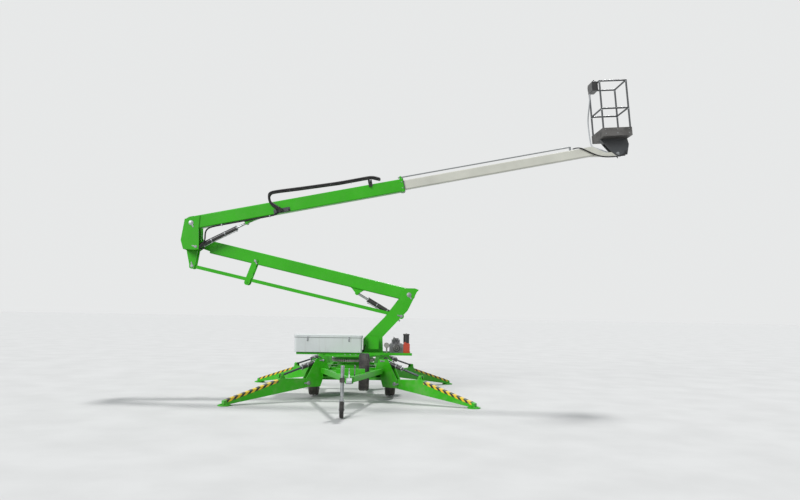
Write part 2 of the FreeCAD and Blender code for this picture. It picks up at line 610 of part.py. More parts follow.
def jockey():
    clamp = block("clamp_block", ("jockey_x - jockey_tube - 12", "jockey_y - 38", "drawbar_tip_z - 38"),
                  ("-head_half", "jockey_y + 38", "drawbar_tip_z + 28"))
    clamp_bore = rod("clamp_bore", "z", "jockey_tube + seat_gap",
                     ("jockey_x", "jockey_y", "drawbar_tip_z - 40"), "80")
    node("jockey_clamp", cut("jockey_clamp", clamp, [clamp_bore]))
    tube = rod("jockey_tube_outer", "z", "jockey_tube", ("jockey_x", "jockey_y", "jockey_low"),
               "jockey_high - jockey_low")
    hollow = rod("jockey_tube_bore", "z", "jockey_leg + seat_gap", ("jockey_x", "jockey_y", "jockey_low - 1"),
                 "jockey_high - jockey_low - 9")
    crank = rod("jockey_crank", "y", "8", ("jockey_x", "jockey_y - 120", "jockey_high - 20"), "120")
    knob = rod("jockey_knob", "z", "12", ("jockey_x", "jockey_y - 112", "jockey_high - 100"), "90")
    node("jockey_sleeve", cut("jockey_sleeve", fuse("jockey_sleeve_solid", [tube, crank, knob]), [hollow]))
    centre = "jockey_wheel + jockey_lift"
    leg = rod("jockey_leg_tube", "z", "jockey_leg", ("jockey_x", "jockey_y", f"{centre} + 155"),
              f"jockey_high - jockey_travel_room - ({centre} + 155)")
    node("jockey_leg", leg)
    stem = rod("jockey_stem", "z", "30", ("jockey_x", "jockey_y", f"{centre} + 135"), "19.7")
    prongs = [block("jockey_prong_" + label, (x0, "jockey_y - 22", f"{centre} - 22"),
                    (x1, "jockey_y + 22", f"{centre} + 137"))
              for label, x0, x1 in (("left", "jockey_x - 38", "jockey_x - 32"),
                                    ("right", "jockey_x + 32", "jockey_x + 38"))]
    bridge = block("jockey_bridge", ("jockey_x - 38", "jockey_y - 22", f"{centre} + 129"),
                   ("jockey_x + 38", "jockey_y + 22", f"{centre} + 137"))
    pin = rod("jockey_axle", "x", "9", ("jockey_x - 44", "jockey_y", centre), "88")
    node("jockey_fork", fuse("jockey_fork", [stem, bridge, pin] + prongs))
    r = z.jockey_wheel
    node("jockey_wheel", spun("jockey_wheel", [
        (-30, 9 + z.pin_gap), (-30, 28), (-22, 28), (-22, r - 32), (-30, r - 32), (-30, r - 9), (-21, r),
        (21, r), (30, r - 9), (30, r - 32), (22, r - 32), (22, 28), (30, 28), (30, 9 + z.pin_gap)],
        ("jockey_x", "jockey_y", centre)))


def outrigger_arm(name, side, end):
    """Tapered box arm with its knee lugs and foot."""
    hinge, angle = leg_frame(side, end)
    at, turn = (hinge.x, hinge.y, hinge.z), (0, angle)
    reach = math.hypot(z.foot_x - z.hinge_x, z.foot_y - z.hinge_y)
    ground = -z.hinge_z
    r, wall = z.arm_root, z.arm_wall
    tip_low, tip_top = ground + z.foot_thick + 6, ground + z.foot_thick + z.arm_tip_depth
    outline = [(0, -r), (reach - 40, tip_low), (reach + 30, tip_low), (reach + 30, tip_top - 18),
               (reach - 20, tip_top), (z.arm_knee, z.arm_knee_top), (0, r), (-r, 0, "arc")]
    skin = slab(name + "_skin", [outline], "arm_width", at, turn=turn)
    slope = (z.arm_knee_top - tip_top) / (reach - 20 - z.arm_knee)
    inside = [(r + 20, -r - 20 * 0.16 + wall), (reach - 60, tip_low + wall + 4),
              (reach - 60, tip_top - wall + 10 * slope), (z.arm_knee, z.arm_knee_top - wall), (r + 20, r - wall)]
    hollow = slab(name + "_hollow", [inside], "arm_width - 2 * arm_wall", at, turn=turn)
    hinge_hole = slab(name + "_bore", [ring(0, 0, b)
                                       for b in (z.hinge_pin + z.pin_gap,)], "arm_width + 10", at, turn=turn)
    box = cut(name + "_box", skin, [hollow, hinge_hole])
    e, lug = z.leg_pin * 2.2, 9
    x, up = z.leg_eye_x, z.leg_eye_z
    ears = slab(name + "_ears", [[(x - 70, z.arm_knee_top - 30), (x + 60, z.arm_knee_top - 40), (x + e, up),
                                  (x, up + e, "arc"), (x - e, up)]], "72", at, turn=turn)
    between = slab(name + "_ears_gap", [rectangle(x - 120, z.arm_knee_top + 2, x + 120, up + 90)],
                   f"72 - 2 * {lug}", at, turn=turn)
    lugs = cut(name + "_lugs", ears, [between])
    foot_at = tuple(in_leg(side, end, reach, ground))
    pad = rod(name + "_pad", "z", "foot_radius", foot_at, "foot_thick")
    boss = rod(name + "_boss", "z", "34", foot_at, "foot_thick + 12")
    return node(name, fuse(name, [box, lugs, pad, boss]))


# Turret: deck, tower, hydraulic cover and the open engine
def turret_deck():
    r, c = z.deck_radius, z.deck_radius * 0.45
    octagon = [(-r, -c), (-c, -r), (c, -r), (r, -c), (r, c), (c, r), (-c, r), (-r, c)]
    plate = slab("deck_plate", [octagon], "deck_thick", ("0", "0", "deck_top - deck_thick / 2"),
                 plane="XY_Plane")
    start, tall = "pedestal_top + ring_height + seat_gap", "deck_top - deck_thick - pedestal_top - ring_height"
    ring_part = cut("turret_ring", rod("turret_ring_outside", "z", "ring_radius - 15", ("0", "0", start), tall),
                    [rod("turret_ring_bore", "z", "ring_radius - 120", ("0", "0", f"{start} - 1"), f"{tall} - 1")])
    beside_tower = "lower_y + boom_width / 2 + side_gap + plate_thick + seat_gap"
    beams = [block("deck_beam_" + label, ("cover_left + 40", y, "deck_top - 1"),
                   ("tray_right", f"{y} + deck_beam", "cover_low"))
             for label, y in (("near", "-cover_half + 40"), ("far", beside_tower))]
    tray = block("engine_tray", ("tray_left", "tray_near", "deck_top"),
                 ("tray_right", "cover_half - 30", "deck_top + tray_thick"))
    return node("turret_deck", fuse("turret_deck", [plate, ring_part, tray] + beams))


def tower():
    """Leaning tower: two side plates, closed in front and behind only below where the links pass."""
    base, plate = z.deck_top, z.plate_thick
    foot = Vector(z.boom_foot_x, 0, z.boom_foot_z)
    tie = foot + Vector(z.tie_dx, 0, z.tie_dz)
    # The head's outline from the boom's foot pivot, from its lowest back corner round to its front
    head = [(foot.x + x, foot.z + up) for x, up in (
        (-22, -306), (155, 60), (194, 99), (117, 130), (-133, 130), (-183, -64), (-464, -438))]
    outline = [(z.tower_left, base), (z.tower_right, base), (z.tower_right - 16, z.tower_back_knee)]
    outline += head + [(z.tower_left, z.tower_front_knee)]
    inner_y = "boom_width + 2 * side_gap"
    sides = fuse("tower_sides", [slab("tower_outline", [outline], f"{inner_y} + 2 * plate_thick", ("0", "lower_y", "0")),
                                 slab("tower_tie_bosses", [ring(tie.x, tie.z, z.tie_boss)],
                                      f"{inner_y} + 2 * plate_thick", ("0", "lower_y", "0"))])
    knee = Vector(z.tower_right - 16, 0, z.tower_back_knee)
    lean = (head[0][0] - knee.x) / (head[0][1] - knee.z)
    thick = plate * math.hypot(1, lean)
    back_x = knee.x + (z.back_top - knee.z) * lean
    beyond = foot.x + 300
    room = [(z.tower_left + plate, base + plate), (z.tower_right - plate, base + plate),
            (knee.x - plate, knee.z + 6), (back_x - thick, z.back_top), (beyond, z.back_top),
            (beyond, foot.z + 150), (foot.x - 203, foot.z + 150), (foot.x - 263, foot.z - 64),
            (foot.x - 523, foot.z - 438), (foot.x - 583, foot.z - 549),
            (z.tower_left + plate, z.tower_front_knee - 6)]
    inside = slab("tower_room", [room], inner_y, ("0", "lower_y", "0"))
    half = "boom_width / 2 + side_gap + plate_thick"
    pins = [rod("tower_" + label, "y", radius, (x, f"lower_y - {half} - 8", height), f"2 * ({half} + 8)")
            for label, radius, x, height in (
                ("boom_pin", "boom_pin", "boom_foot_x", "boom_foot_z"),
                ("tie_pin", "tie_pin", "boom_foot_x + tie_dx", "boom_foot_z + tie_dz"))]
    eye, reach = z.cylinder_pin * z.eye_share, z.lift_barrel_radius + z.side_gap
    gx, gz = z.lift_base_x, z.lift_base_z
    at_top = Vector(back_x - thick / 2, 0, z.back_top)
    drop = Vector(lean, 0, 1) * (z.back_top - 1300)
    low_end = at_top - drop
    lug = [(gx + eye, gz), (gx, gz + eye, "arc"), (gx - eye, gz), (low_end.x - plate, low_end.z),
           (low_end.x, low_end.z), (at_top.x, at_top.z), (gx + eye, gz - plate)]
    lugs = slab("tower_lugs", [lug], f"2 * ({reach} + lift_lug)", ("0", "lower_y", "0"))
    between = slab("tower_lugs_gap", [rectangle(gx - 150, gz - 200, gx + 60, gz + 120)], f"2 * {reach}",
                   ("0", "lower_y", "0"))
    pin = rod("tower_lift_pin", "y", "cylinder_pin",
              ("lift_base_x", f"lower_y - {reach} - lift_lug", "lift_base_z"), f"2 * ({reach} + lift_lug)")
    shell = cut("tower_shell", sides, [inside])
    return node("tower", fuse("tower", [shell, cut("tower_lug_pair", lugs, [between]), pin] + pins))


def hydraulic_cover():
    """Low housing with rounded upright edges, and its lid a little proud of it."""
    pieces = []
    for label, proud, low, high in (("body", 0, "cover_low", "(cover_top - lid_height)"),
                                    ("lid", z.lid_proud, "(cover_top - lid_height)", "cover_top")):
        along, half = (z.cover_right - z.cover_left) / 2 + proud, z.cover_half + proud
        pieces.append(slab("cover_" + label, [rounded(-along, -half, along, half, z.cover_bend + proud)],
                           f"{high} - {low}", ("(cover_left + cover_right) / 2", "0", f"({high} + {low}) / 2"),
                           "XY_Plane"))
    return node("hydraulic_cover", fuse("hydraulic_cover", pieces))


def engine():
    """Small petrol engine on its tray: crankcase, finned barrel, fan cowl, tank, muffler and air cleaner."""
    top = z.deck_top + z.tray_thick
    case = slab("engine_crankcase", [rounded(700, top, 960, top + 190, 34)], "200", ("0", "90", "0"))
    cowl = rod("engine_fan_cowl", "y", "88", ("830", "-54", f"{top} + 104"), "60")
    fins = [block(f"engine_fin_{i}", ("740", "10", f"{top} + {200 + 14 * i}"),
                  ("900", "170", f"{top} + {207 + 14 * i}")) for i in range(5)]
    barrel = rod("engine_barrel", "z", "55", ("820", "90", f"{top} + 180"), "110")
    node("engine", fuse("engine", [case, cowl, barrel] + fins))
    tank = slab("fuel_tank_body", [rounded(966, top, 1090, top + 200, 30)], "190", ("0", "85", "0"))
    cap = rod("fuel_tank_cap", "z", "22", ("1000", "20", f"{top} + 199"), "20")
    node("fuel_tank", fuse("fuel_tank", [tank, cap]))
    muffler = rod("muffler_drum", "y", "48", ("645", "-10", f"{top} + 150"), "190")
    foot = block("muffler_foot", ("630", "50", f"{top}"), ("660", "130", f"{top} + 150"))
    node("muffler", fuse("muffler", [muffler, foot]))
    drum = rod("cleaner_drum", "z", "58", ("1026", "100", f"{top} + 200"), "150")
    lid = rod("cleaner_lid", "z", "64", ("1026", "100", f"{top} + 350"), "24")
    node("air_cleaner", fuse("air_cleaner", [drum, lid]))


# Lower boom, tie bar and spacer link
def lower_boom():
    foot = (FOOT.x, FOOT.y, FOOT.z)
    d = z.lower_depth / 2
    shell = box_tube("lower", 0, z.lower_skin, z.lower_depth, z.boom_width, z.boom_wall, on_lower, LOWER_TURN)
    round_end = slab("lower_round", [[(0, -d), (d, 0, "arc"), (0, d), (-60, d), (-60, -d)]], "boom_width", foot,
                     turn=LOWER_TURN)
    fork_out = [(-z.lower_skin + 120, -d + 20), (-z.lower_skin + 120, d - 20), (-z.lower_length, 62),
                (-z.lower_length - 62, 0, "arc"), (-z.lower_length, -62)]
    fork = slab("lower_fork", [fork_out], "boom_width", foot, turn=LOWER_TURN)
    fork_gap = slab("lower_fork_gap", [rectangle(-z.lower_length - 100, -200, -z.lower_skin - 20, 200)],
                    "boom_width - 44", foot, turn=LOWER_TURN)
    inner = slab("lower_fork_inside", [rectangle(-z.lower_skin - 1, -d, -z.lower_skin + 121, d)],
                 "boom_width - 2 * boom_wall", foot, turn=LOWER_TURN)
    prongs = cut("lower_prongs", fork, [fork_gap, inner])
    bushes = [bush("lower_bush_" + label, p, r, "boom_width") for label, p, r in (
        ("foot", FOOT, z.boom_pin), ("tip", TIP, z.boom_pin))]
    bores = [bore("lower_bore_" + label, p, r, "boom_width + 20") for label, p, r in (
        ("foot", FOOT, z.boom_pin), ("tip", TIP, z.boom_pin))]
    e, x, low = z.cylinder_pin * 2, -z.lift_eye_along, -z.lift_eye_below
    ear = slab("lower_ear", [[(x - 150, -d + 10), (x - e, low), (x, low - e, "arc"), (x + e, low),
                              (x + 128, -d + 10)]], "110", foot, turn=LOWER_TURN)
    ear_gap = slab("lower_ear_gap", [rectangle(x - 300, low - 120, x + 300, -d - 2)], "82", foot,
                   turn=LOWER_TURN)
    ears = cut("lower_ears", ear, [ear_gap])
    link_at = on_lower(z.link_along, z.link_below)
    pin = rod("lower_link_pin", "y", "link_pin",
              (f"{link_at.x}", "lower_y - boom_width / 2 - 22", f"{link_at.z}"), "boom_width + 44")
    slot = slab("lower_slot", [rectangle(x - 110, -d - 20, x + 90, -d + 30)], "82", foot, turn=LOWER_TURN)
    heads = [slab(f"lower_eye_head_{side}", [ring(x, low, z.cylinder_pin + 5)], "6",
                  tuple(FOOT + Vector(0, side * 58, 0)), turn=LOWER_TURN) for side in (-1, 1)]
    solid = fuse("lower_solid", [shell, round_end, prongs, ears, pin] + bushes + heads)
    return node("lower_boom", cut("lower_boom_bored", solid, bores + [slot]))


def bush(name, at, pin, length):
    r = pin + z.bush_wall
    return slab(name, [ring(0, 0, r)], length, tuple(at))


def bore(name, at, pin, length, gap=None):
    r = pin + (z.pin_gap if gap is None else gap)
    return slab(name, [ring(0, 0, r)], length, tuple(at))


def tie_bar():
    """Two flat bars with spacers, parallel to the lower boom."""
    start = FOOT + Vector(z.tie_dx, 0, z.tie_dz)
    at = tuple(start)
    d, reach = z.tie_depth / 2, z.lower_length
    e = d + 8
    outline = [(0, -e), (e, 0, "arc"), (0, e), (-60, d), (-reach + 60, d), (-reach, e),
               (-reach - e, 0, "arc"), (-reach, -e), (-reach + 60, -d), (-60, -d)]
    bars = slab("tie_bars", [outline], "2 * (tie_half + tie_thick)", at, turn=LOWER_TURN)
    x, low = -z.link_along, -z.link_below
    tab = slab("tie_tab", [[(x - 50, 0), (x - 36, low), (x, low - 36, "arc"), (x + 36, low), (x + 50, 0)]],
               "2 * (tie_half + tie_thick)", at, turn=LOWER_TURN)
    gap = slab("tie_gap", [rectangle(-reach - 80, -200, 80, 200)], "2 * tie_half", at, turn=LOWER_TURN)
    flats = cut("tie_flats", fuse("tie_outline", [bars, tab]), [gap])
    spacers = [slab(f"tie_spacer_{i}", [[(s + 18, 0), (s, 18, "arc"), (s - 18, 0), (s, -18, "arc")]],
                    "2 * tie_half + 2", at, turn=LOWER_TURN)
               for i, s in enumerate(-share * reach for share in (0.36, 0.62, 0.88))]
    link_low = on_lower(z.link_along, z.link_below) + Vector(z.tie_dx, 0, z.tie_dz)
    pin = rod("tie_link_pin", "y", "link_pin",
              (f"{link_low.x}", "lower_y - boom_width / 2 - 22", f"{link_low.z}"), "boom_width + 44")
    holes = [bore("tie_bore_foot", start, z.tie_pin, "300"),
             bore("tie_bore_tip", TIP + Vector(z.tie_dx, 0, z.tie_dz), z.tie_pin, "300", z.open_gap)]
    return node("tie_bar", cut("tie_bar_bored", fuse("tie_solid", [flats, pin] + spacers), holes))


def spacer_link():
    """Pair of plates that hold the tie bar at its distance from the boom."""
    top = on_lower(z.link_along, z.link_below)
    lean = math.degrees(math.atan2(z.tie_dx, z.tie_dz))
    length = math.hypot(z.tie_dx, z.tie_dz)
    turn = (180 + lean, 0)
    w = z.link_width / 2
    outline = [(-w, 0), (0, w, "arc"), (w, 0), (w, -length), (0, -length - w, "arc"), (-w, -length)]
    width = "boom_width + 2 * side_gap + 24"
    both = slab("link_plates", [outline], width, tuple(top), turn=turn)
    gap = slab("link_gap", [rectangle(-w - 20, -length - 90, w + 20, 90)], "boom_width + 2 * side_gap",
               tuple(top), turn=turn)
    bridge = slab("link_bridge", [rectangle(-16, -length * 0.56, 16, -length * 0.5)],
                  "boom_width + 2 * side_gap + 2", tuple(top), turn=turn)
    holes = [bore("link_bore_top", top, z.link_pin, "300"),
             bore("link_bore_low", top + Vector(z.tie_dx, 0, z.tie_dz), z.link_pin, "300", z.open_gap)]
    plates = fuse("link_solid", [cut("link_pair", both, [gap]), bridge])
    return node("spacer_link", cut("spacer_link_bored", plates, holes))


def knuckle():
    """Upright end frame: lower boom and tie bar in one bay, upper boom and its cylinder in the other."""
    b, a = TIP, HEAD
    d = Vector(b.x + z.luff_base_x, z.upper_y, b.z + z.luff_base_z)
    c = b + Vector(z.tie_dx, 0, z.tie_dz)
    upper_plate = [(a.x - 125, a.z + 73), (a.x - 180, b.z + 54), (a.x - 127, b.z - 116),
                   (d.x - 20, d.z - 60), (d.x + 55, d.z - 50), (d.x + 55, d.z + 60), (a.x + 147, b.z + 290),
                   (a.x + 160, a.z + 150)]
    lower_plate = [(a.x - 135, b.z + 340), (a.x - 180, b.z + 54), (a.x - 127, b.z - 116), (c.x - 55, c.z + 30),
                   (c.x - 50, c.z - 30), (c.x, c.z - 55, "arc"), (c.x + 50, c.z - 30), (c.x + 95, c.z + 300),
                   (b.x + 20, b.z - 66), (b.x + 66, b.z, "arc"), (b.x + 20, b.z + 66), (a.x + 130, b.z + 150),
                   (a.x + 125, b.z + 340)]
    gap = z.boom_width / 2 + z.side_gap
    plates = []
    for label, outline, y in (("upper_near", upper_plate, z.upper_y - gap - z.plate_thick / 2),
                              ("upper_far", upper_plate, z.upper_y + gap + z.plate_thick / 2),
                              ("lower_near", lower_plate, z.lower_y - gap - z.plate_thick / 2),
                              ("lower_far", lower_plate, z.lower_y + gap + z.plate_thick / 2)):
        plates.append(slab("knuckle_" + label, [outline], "plate_thick", ("0", f"{y}", "0")))
    near = z.upper_y - gap - z.plate_thick
    far = z.lower_y + gap + z.plate_thick
    back = slab("knuckle_back", [[(a.x - 130, a.z + 30), (a.x - 180, b.z + 54), (a.x - 127, b.z - 116),
                                  (a.x - 113, b.z - 116), (a.x - 166, b.z + 54), (a.x - 140, a.z - 60)]],
                f"{far - near}", ("0", f"{(near + far) / 2}", "0"))
    web = block("knuckle_web", (f"{a.x - 150}", f"{z.upper_y + gap + 2}", f"{b.z - 60}"),
                (f"{a.x + 110}", f"{z.lower_y - gap - 2}", f"{b.z + 250}"))
    reach = z.plate_thick + gap + 8
    pins = [rod("knuckle_" + label, "y", f"{r}", (f"{p.x}", f"{p.y - reach}", f"{p.z}"), f"{2 * reach}")
            for label, r, p in (("head_pin", z.boom_pin, a), ("tip_pin", z.boom_pin, b),
                                ("tie_pin", z.tie_pin, c), ("luff_pin", z.luff_pin, d))]
    return node("knuckle", fuse("knuckle", plates + [back, web] + pins))


# Upper boom and its telescopic section
def upper_boom():
    at = tuple(HEAD)
    d = z.upper_depth / 2
    shell = box_tube("upper", 0, z.upper_length, z.upper_depth, z.boom_width, z.boom_wall, on_upper, UPPER_TURN)
    round_end = slab("upper_round", [[(0, d), (-d, 0, "arc"), (0, -d), (60, -d), (60, d)]], "boom_width", at,
                     turn=UPPER_TURN)
    e, x, low = z.luff_pin * 2, z.luff_eye_along, -z.luff_eye_below
    ear = slab("upper_ear", [[(x - 60, -d + 10), (x - e, low), (x, low - e, "arc"), (x + e, low),
                              (x + 370, -d + 10)]], "104", at, turn=UPPER_TURN)
    ear_gap = slab("upper_ear_gap", [rectangle(x - 300, low - 90, x + 120, -d - 2)], "78", at, turn=UPPER_TURN)
    ears = cut("upper_ears", ear, [ear_gap])
    end = z.upper_length
    collar_out = slab("upper_collar_skin", [rectangle(end - 60, -d - 8, end, d + 8)], "boom_width + 16", at,
                      turn=UPPER_TURN)
    f = z.fly_depth / 2 + z.seat_gap
    collar_in = slab("upper_collar_bore", [rectangle(end - 61, -f, end + 1, f)], "fly_width + 2 * seat_gap", at,
                     turn=UPPER_TURN)
    collar = cut("upper_collar", collar_out, [collar_in])
    rise, room = z.guide_rise, z.guide_radius + 2
    guide = cut("upper_guide", slab("upper_guide_block", [rectangle(end - 50, d, end - 15, rise + room + 8)],
                                    f"{2 * room + 20}", at, turn=UPPER_TURN),
                [slab("upper_guide_bore", [rectangle(end - 51, rise - room, end - 14, rise + room)], f"{2 * room}",
                      at, turn=UPPER_TURN)])
    heads = [slab(f"upper_eye_head_{side}", [ring(x, low, z.luff_pin + 5)], "6",
                  tuple(HEAD + Vector(0, side * 55, 0)), turn=UPPER_TURN) for side in (-1, 1)]
    solid = fuse("upper_solid", [shell, round_end, ears, collar, guide,
                                 bush("upper_bush", HEAD, z.boom_pin, "boom_width")] + heads)
    slot = slab("upper_slot", [rectangle(x - 145, -d - 20, x + 90, -d + z.boom_wall + 2)], "78", at,
                turn=UPPER_TURN)
    return node("upper_boom", cut("upper_boom_bored", solid,
                                  [bore("upper_bore", HEAD, z.boom_pin, "boom_width + 20"), slot]))


def fly_boom():
    """Telescopic boom with wear pads at its inner end and a solid neck that carries the basket."""
    at = tuple(HEAD)
    d, w, bend = z.fly_depth / 2, z.fly_wall, z.boom_bend - z.boom_wall
    top, bottom = z.basket_along - z.neck_top, z.basket_along - z.neck_bottom
    tube = box_tube("fly", z.fly_tail, bottom, z.fly_depth, z.fly_width, w, on_upper, UPPER_TURN,
                    closed=bottom - top + 60)
    slope = (bottom - top) / z.fly_depth
    beyond = slab("fly_end_cut", [[(top - 10 * slope, d + 10), (bottom + 10 * slope, -d - 10),
                                   (bottom + 300, -d - 10), (bottom + 300, d + 10)]],
                  "fly_width + 10", at, turn=UPPER_TURN)
    pad_up = z.upper_depth / 2 - z.boom_wall - z.seat_gap
    pad_out = z.boom_width / 2 - z.boom_wall - z.seat_gap
    pad_at = tuple(on_upper(z.fly_tail + 45))
    pads = slab("fly_pads", [rounded(-pad_out, -pad_up, pad_out, pad_up, bend)], "90", pad_at, "YZ_Plane",
                turn=UPPER_TURN)
    pad_room = slab("fly_pads_room", [rounded(w - z.fly_width / 2, w - d, z.fly_width / 2 - w, d - w, bend)], "92",
                    pad_at, "YZ_Plane", turn=UPPER_TURN)
    k, down = z.basket_along, -z.basket_below
    neck = slab("fly_neck", [[(top - 40, d), (bottom + 20, d + 3), (k - 240, -78), (k, down + 42),
                              (k + 42, down, "arc"), (k, down - 42), (bottom - 60, -d), (top - 60, -d + 20)]],
                "100", at, turn=UPPER_TURN)
    solid = fuse("fly_solid", [cut("fly_tube_cut", tube, [beyond]), cut("fly_wear_pads", pads, [pad_room]), neck])
    return node("fly_boom", cut("fly_boom_bored", solid,
                                [bore("fly_bore", BASKET, z.cylinder_pin, "200")]))


def basket():
    """Cage with tubes, floor with toe boards, and the bracket that hangs it on its pivot."""
    tilt = (-z.basket_tilt, 0)
    at = tuple(BASKET)
    left, right = z.basket_left, z.basket_left + z.basket_length
    low, half = z.basket_floor, z.basket_half
    top = low + z.basket_height
    r = z.rail_tube

    def at_local(x, y, up):
        a = math.radians(z.basket_tilt)
        return BASKET + Vector(x * math.cos(a) - up * math.sin(a), y, x * math.sin(a) + up * math.cos(a))

    floor = slab("basket_floor_plate", [rectangle(left, low, right, low + 12)], f"{2 * half}", at, turn=tilt)
    boards_out = slab("toe_outer", [rectangle(left, low + 6, right, low + z.toe_height)], f"{2 * half}", at,
                      turn=tilt)
    wall = z.board_wall
    boards_in = slab("toe_inner", [rectangle(left + wall, low + 5, right - wall, low + z.toe_height + 1)],
                     f"{2 * (half - wall)}", at, turn=tilt)
    node("basket_floor", fuse("basket_floor", [floor, cut("toe_boards", boards_out, [boards_in])]))
    post, post_from = r + 1, low + 12 + z.seat_gap
    inset = post + wall + z.seat_gap
    corners = [(left + inset, inset - half), (right - inset, inset - half), (right - inset, half - inset),
               (left + inset, half - inset)]
    rails = []
    for label, up in (("top", top), ("middle", (low + top) / 2)):
        for i, (start, end) in enumerate(zip(corners, corners[1:] + corners[:1])):
            rails.append(straight_bar(f"cage_{label}_{i}", at_local(*start, up), at_local(*end, up), r))
    for i, corner in enumerate(corners):
        rails.append(straight_bar(f"cage_post_{i}", at_local(*corner, post_from), at_local(*corner, top), post))
        knob = doc.addObject("Part::Sphere", f"cage_corner_{i}")
        knob.Radius = post + 1
        knob.Placement.Base = at_local(*corner, top)
        rails.append(knob)
    node("basket_cage", fuse("basket_cage", rails))
    side = 50 + z.side_gap
    outline = [(-150, 60), (-40, -40), (0, -46, "arc"), (40, -40), (190, -30), (240, 180), (215, low - 0.3),
               (left + 30, low - 0.3)]
    ears_out = slab("bracket_out", [outline], f"{2 * side + 24}", at, turn=tilt)
    ears_gap = slab("bracket_gap", [[(left - 50, -90), (260, -90), (260, 100), (100, 140), (left - 50, 240)]],
                    f"{2 * side}", at, turn=tilt)
    pin = rod("basket_pin", "y", "cylinder_pin", (f"{at[0]}", f"{at[1] - side - 20}", f"{at[2]}"),
              f"{2 * side + 40}")
    node("basket_bracket", fuse("basket_bracket", [cut("bracket_ears", ears_out, [ears_gap]), pin]))
    box_at = at_local(corners[0][0] - r - z.seat_gap, -half * 0.4, top - 180)
    box = slab("control_box", [rounded(-120, 0, 0, 190, 10)], "260", tuple(box_at), turn=tilt)
    node("control_box", box)


def hose_track():
    """Hose bundle looped beside the upper boom, and the guide tube that slides with the telescopic boom."""
    r, d = z.hose_radius, z.upper_depth / 2
    off = r + z.hose_gap
    # Along the boom and above its centreline
    route = ((1725, 35 - d), (1540, 95), (1545, 290), (1750, 288), (2150, 266), (2930, 236), (3560, 240), (3720, 172))
    points = [on_upper(x, -up) - Vector(0, z.boom_width / 2 + off, 0) for x, up in route]
    hose = pipe("hose_run", rounded_path(points, 260), r)
    clips = [slab(f"hose_clip_{i}", [rectangle(u - 17, low, u + 17, high)], f"{off + r + 4}",
                  (f"{HEAD.x}", f"upper_y - boom_width / 2 - {(off + r + 4) / 2}", f"{HEAD.z}"), turn=UPPER_TURN)
             for i, (u, low, high) in enumerate(((1700, 10 - d, 90 - d), (3500, d - 45, 240 + r + 4)))]
    node("hose_track", fuse("hose_track", [hose] + clips))
    tip = z.basket_along - z.neck_top
    bar = straight_bar("guide_bar", on_upper(z.upper_length - 80, -z.guide_rise), on_upper(tip - 240, -z.guide_rise),
                       z.guide_radius)
    post = slab("guide_post", [rectangle(tip - 270, z.fly_depth / 2 + z.seat_gap, tip - 230, z.guide_rise + 4)],
                "20", tuple(HEAD), turn=UPPER_TURN)
    node("guide_tube", fuse("guide_tube", [bar, post]))


chassis_frame()
slew_ring()
axle_beam()
for wheel_label, wheel_side in (("left", -1), ("right", 1)):
    wheel_at = (f"{wheel_side} * wheel_x", "wheel_y", "wheel_z")
    rim("rim_" + wheel_label, wheel_at, wheel_side)
    tyre("tyre_" + wheel_label, wheel_at)
drawbar()
coupling_head()
rim("rim_spare", ("spare_x", "spare_y", "spare_z"), -1)
tyre("tyre_spare", ("spare_x", "spare_y", "spare_z"))
jockey()
for leg_label, (leg_side, leg_end) in LEGS.items():
    outrigger_arm("arm_" + leg_label, leg_side, leg_end)
    cylinder_pair("leg_" + leg_label, in_leg(leg_side, leg_end, z.leg_base_x, z.leg_base_z),
                  in_leg(leg_side, leg_end, z.leg_eye_x, z.leg_eye_z), 26, z.leg_barrel,
                  z.leg_barrel_radius, z.leg_rod_radius, z.leg_rod_length, z.leg_pin)
turret_deck()
tower()
hydraulic_cover()
engine()
lower_boom()
tie_bar()
spacer_link()
cylinder_pair("lift", Vector(z.lift_base_x, z.lower_y, z.lift_base_z),
              on_lower(z.lift_eye_along, z.lift_eye_below), 38, z.lift_barrel, z.lift_barrel_radius,
              z.lift_rod_radius, z.lift_rod_length, z.cylinder_pin)
knuckle()
upper_boom()
cylinder_pair("luff", Vector(TIP.x + z.luff_base_x, z.upper_y, TIP.z + z.luff_base_z),
              on_upper(z.luff_eye_along, z.luff_eye_below), 36, z.luff_barrel, z.luff_barrel_radius,
              z.luff_rod_radius, z.luff_rod_length, z.luff_pin)
fly_boom()
hose_track()
basket()
doc.recompute()

# Every object and every sub-part is checked before anything is written
for thing in doc.Objects:
    if "Invalid" in thing.State or "Error" in thing.State:
        raise RuntimeError(f"{thing.Label} failed: {thing.State}")
whole = FreeCAD.BoundBox()
for name, piece in NODES.items():
    if piece.Shape.isNull() or not piece.Shape.isValid():
        raise RuntimeError(f"{name} has no valid shape")
    whole.add(piece.Shape.BoundBox)

# The origin goes to the middle of the box's underside
origin = Vector(whole.Center.x, whole.Center.y, 0)
os.makedirs("parts", exist_ok=True)
for name, piece in NODES.items():
    shape = piece.Shape.copy()
    shape.translate(-origin)
    shape.exportStep(f"parts/{name}.step")
print(f"{len(NODES)} sub-parts, origin at {origin.x:.3f} {origin.y:.3f} of the slew axis")
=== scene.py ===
import json
import math

import bpy
import numpy as np
from mathutils import Matrix, Vector


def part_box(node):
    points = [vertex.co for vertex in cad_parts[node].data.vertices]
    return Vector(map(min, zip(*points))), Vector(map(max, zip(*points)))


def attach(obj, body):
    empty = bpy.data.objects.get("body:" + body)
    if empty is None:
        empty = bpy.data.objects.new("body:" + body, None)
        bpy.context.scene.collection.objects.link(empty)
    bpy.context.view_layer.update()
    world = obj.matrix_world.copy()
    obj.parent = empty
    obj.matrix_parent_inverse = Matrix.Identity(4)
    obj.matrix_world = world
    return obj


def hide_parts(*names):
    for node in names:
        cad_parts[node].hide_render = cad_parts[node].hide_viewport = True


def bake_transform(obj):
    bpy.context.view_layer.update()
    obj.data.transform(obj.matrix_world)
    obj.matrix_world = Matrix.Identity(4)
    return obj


# Looks of the towed articulated boom lift. Metres, in the CAD frame: +X along the booms towards
# the basket, -Y towards the drawbar's coupling, Z up from the ground.

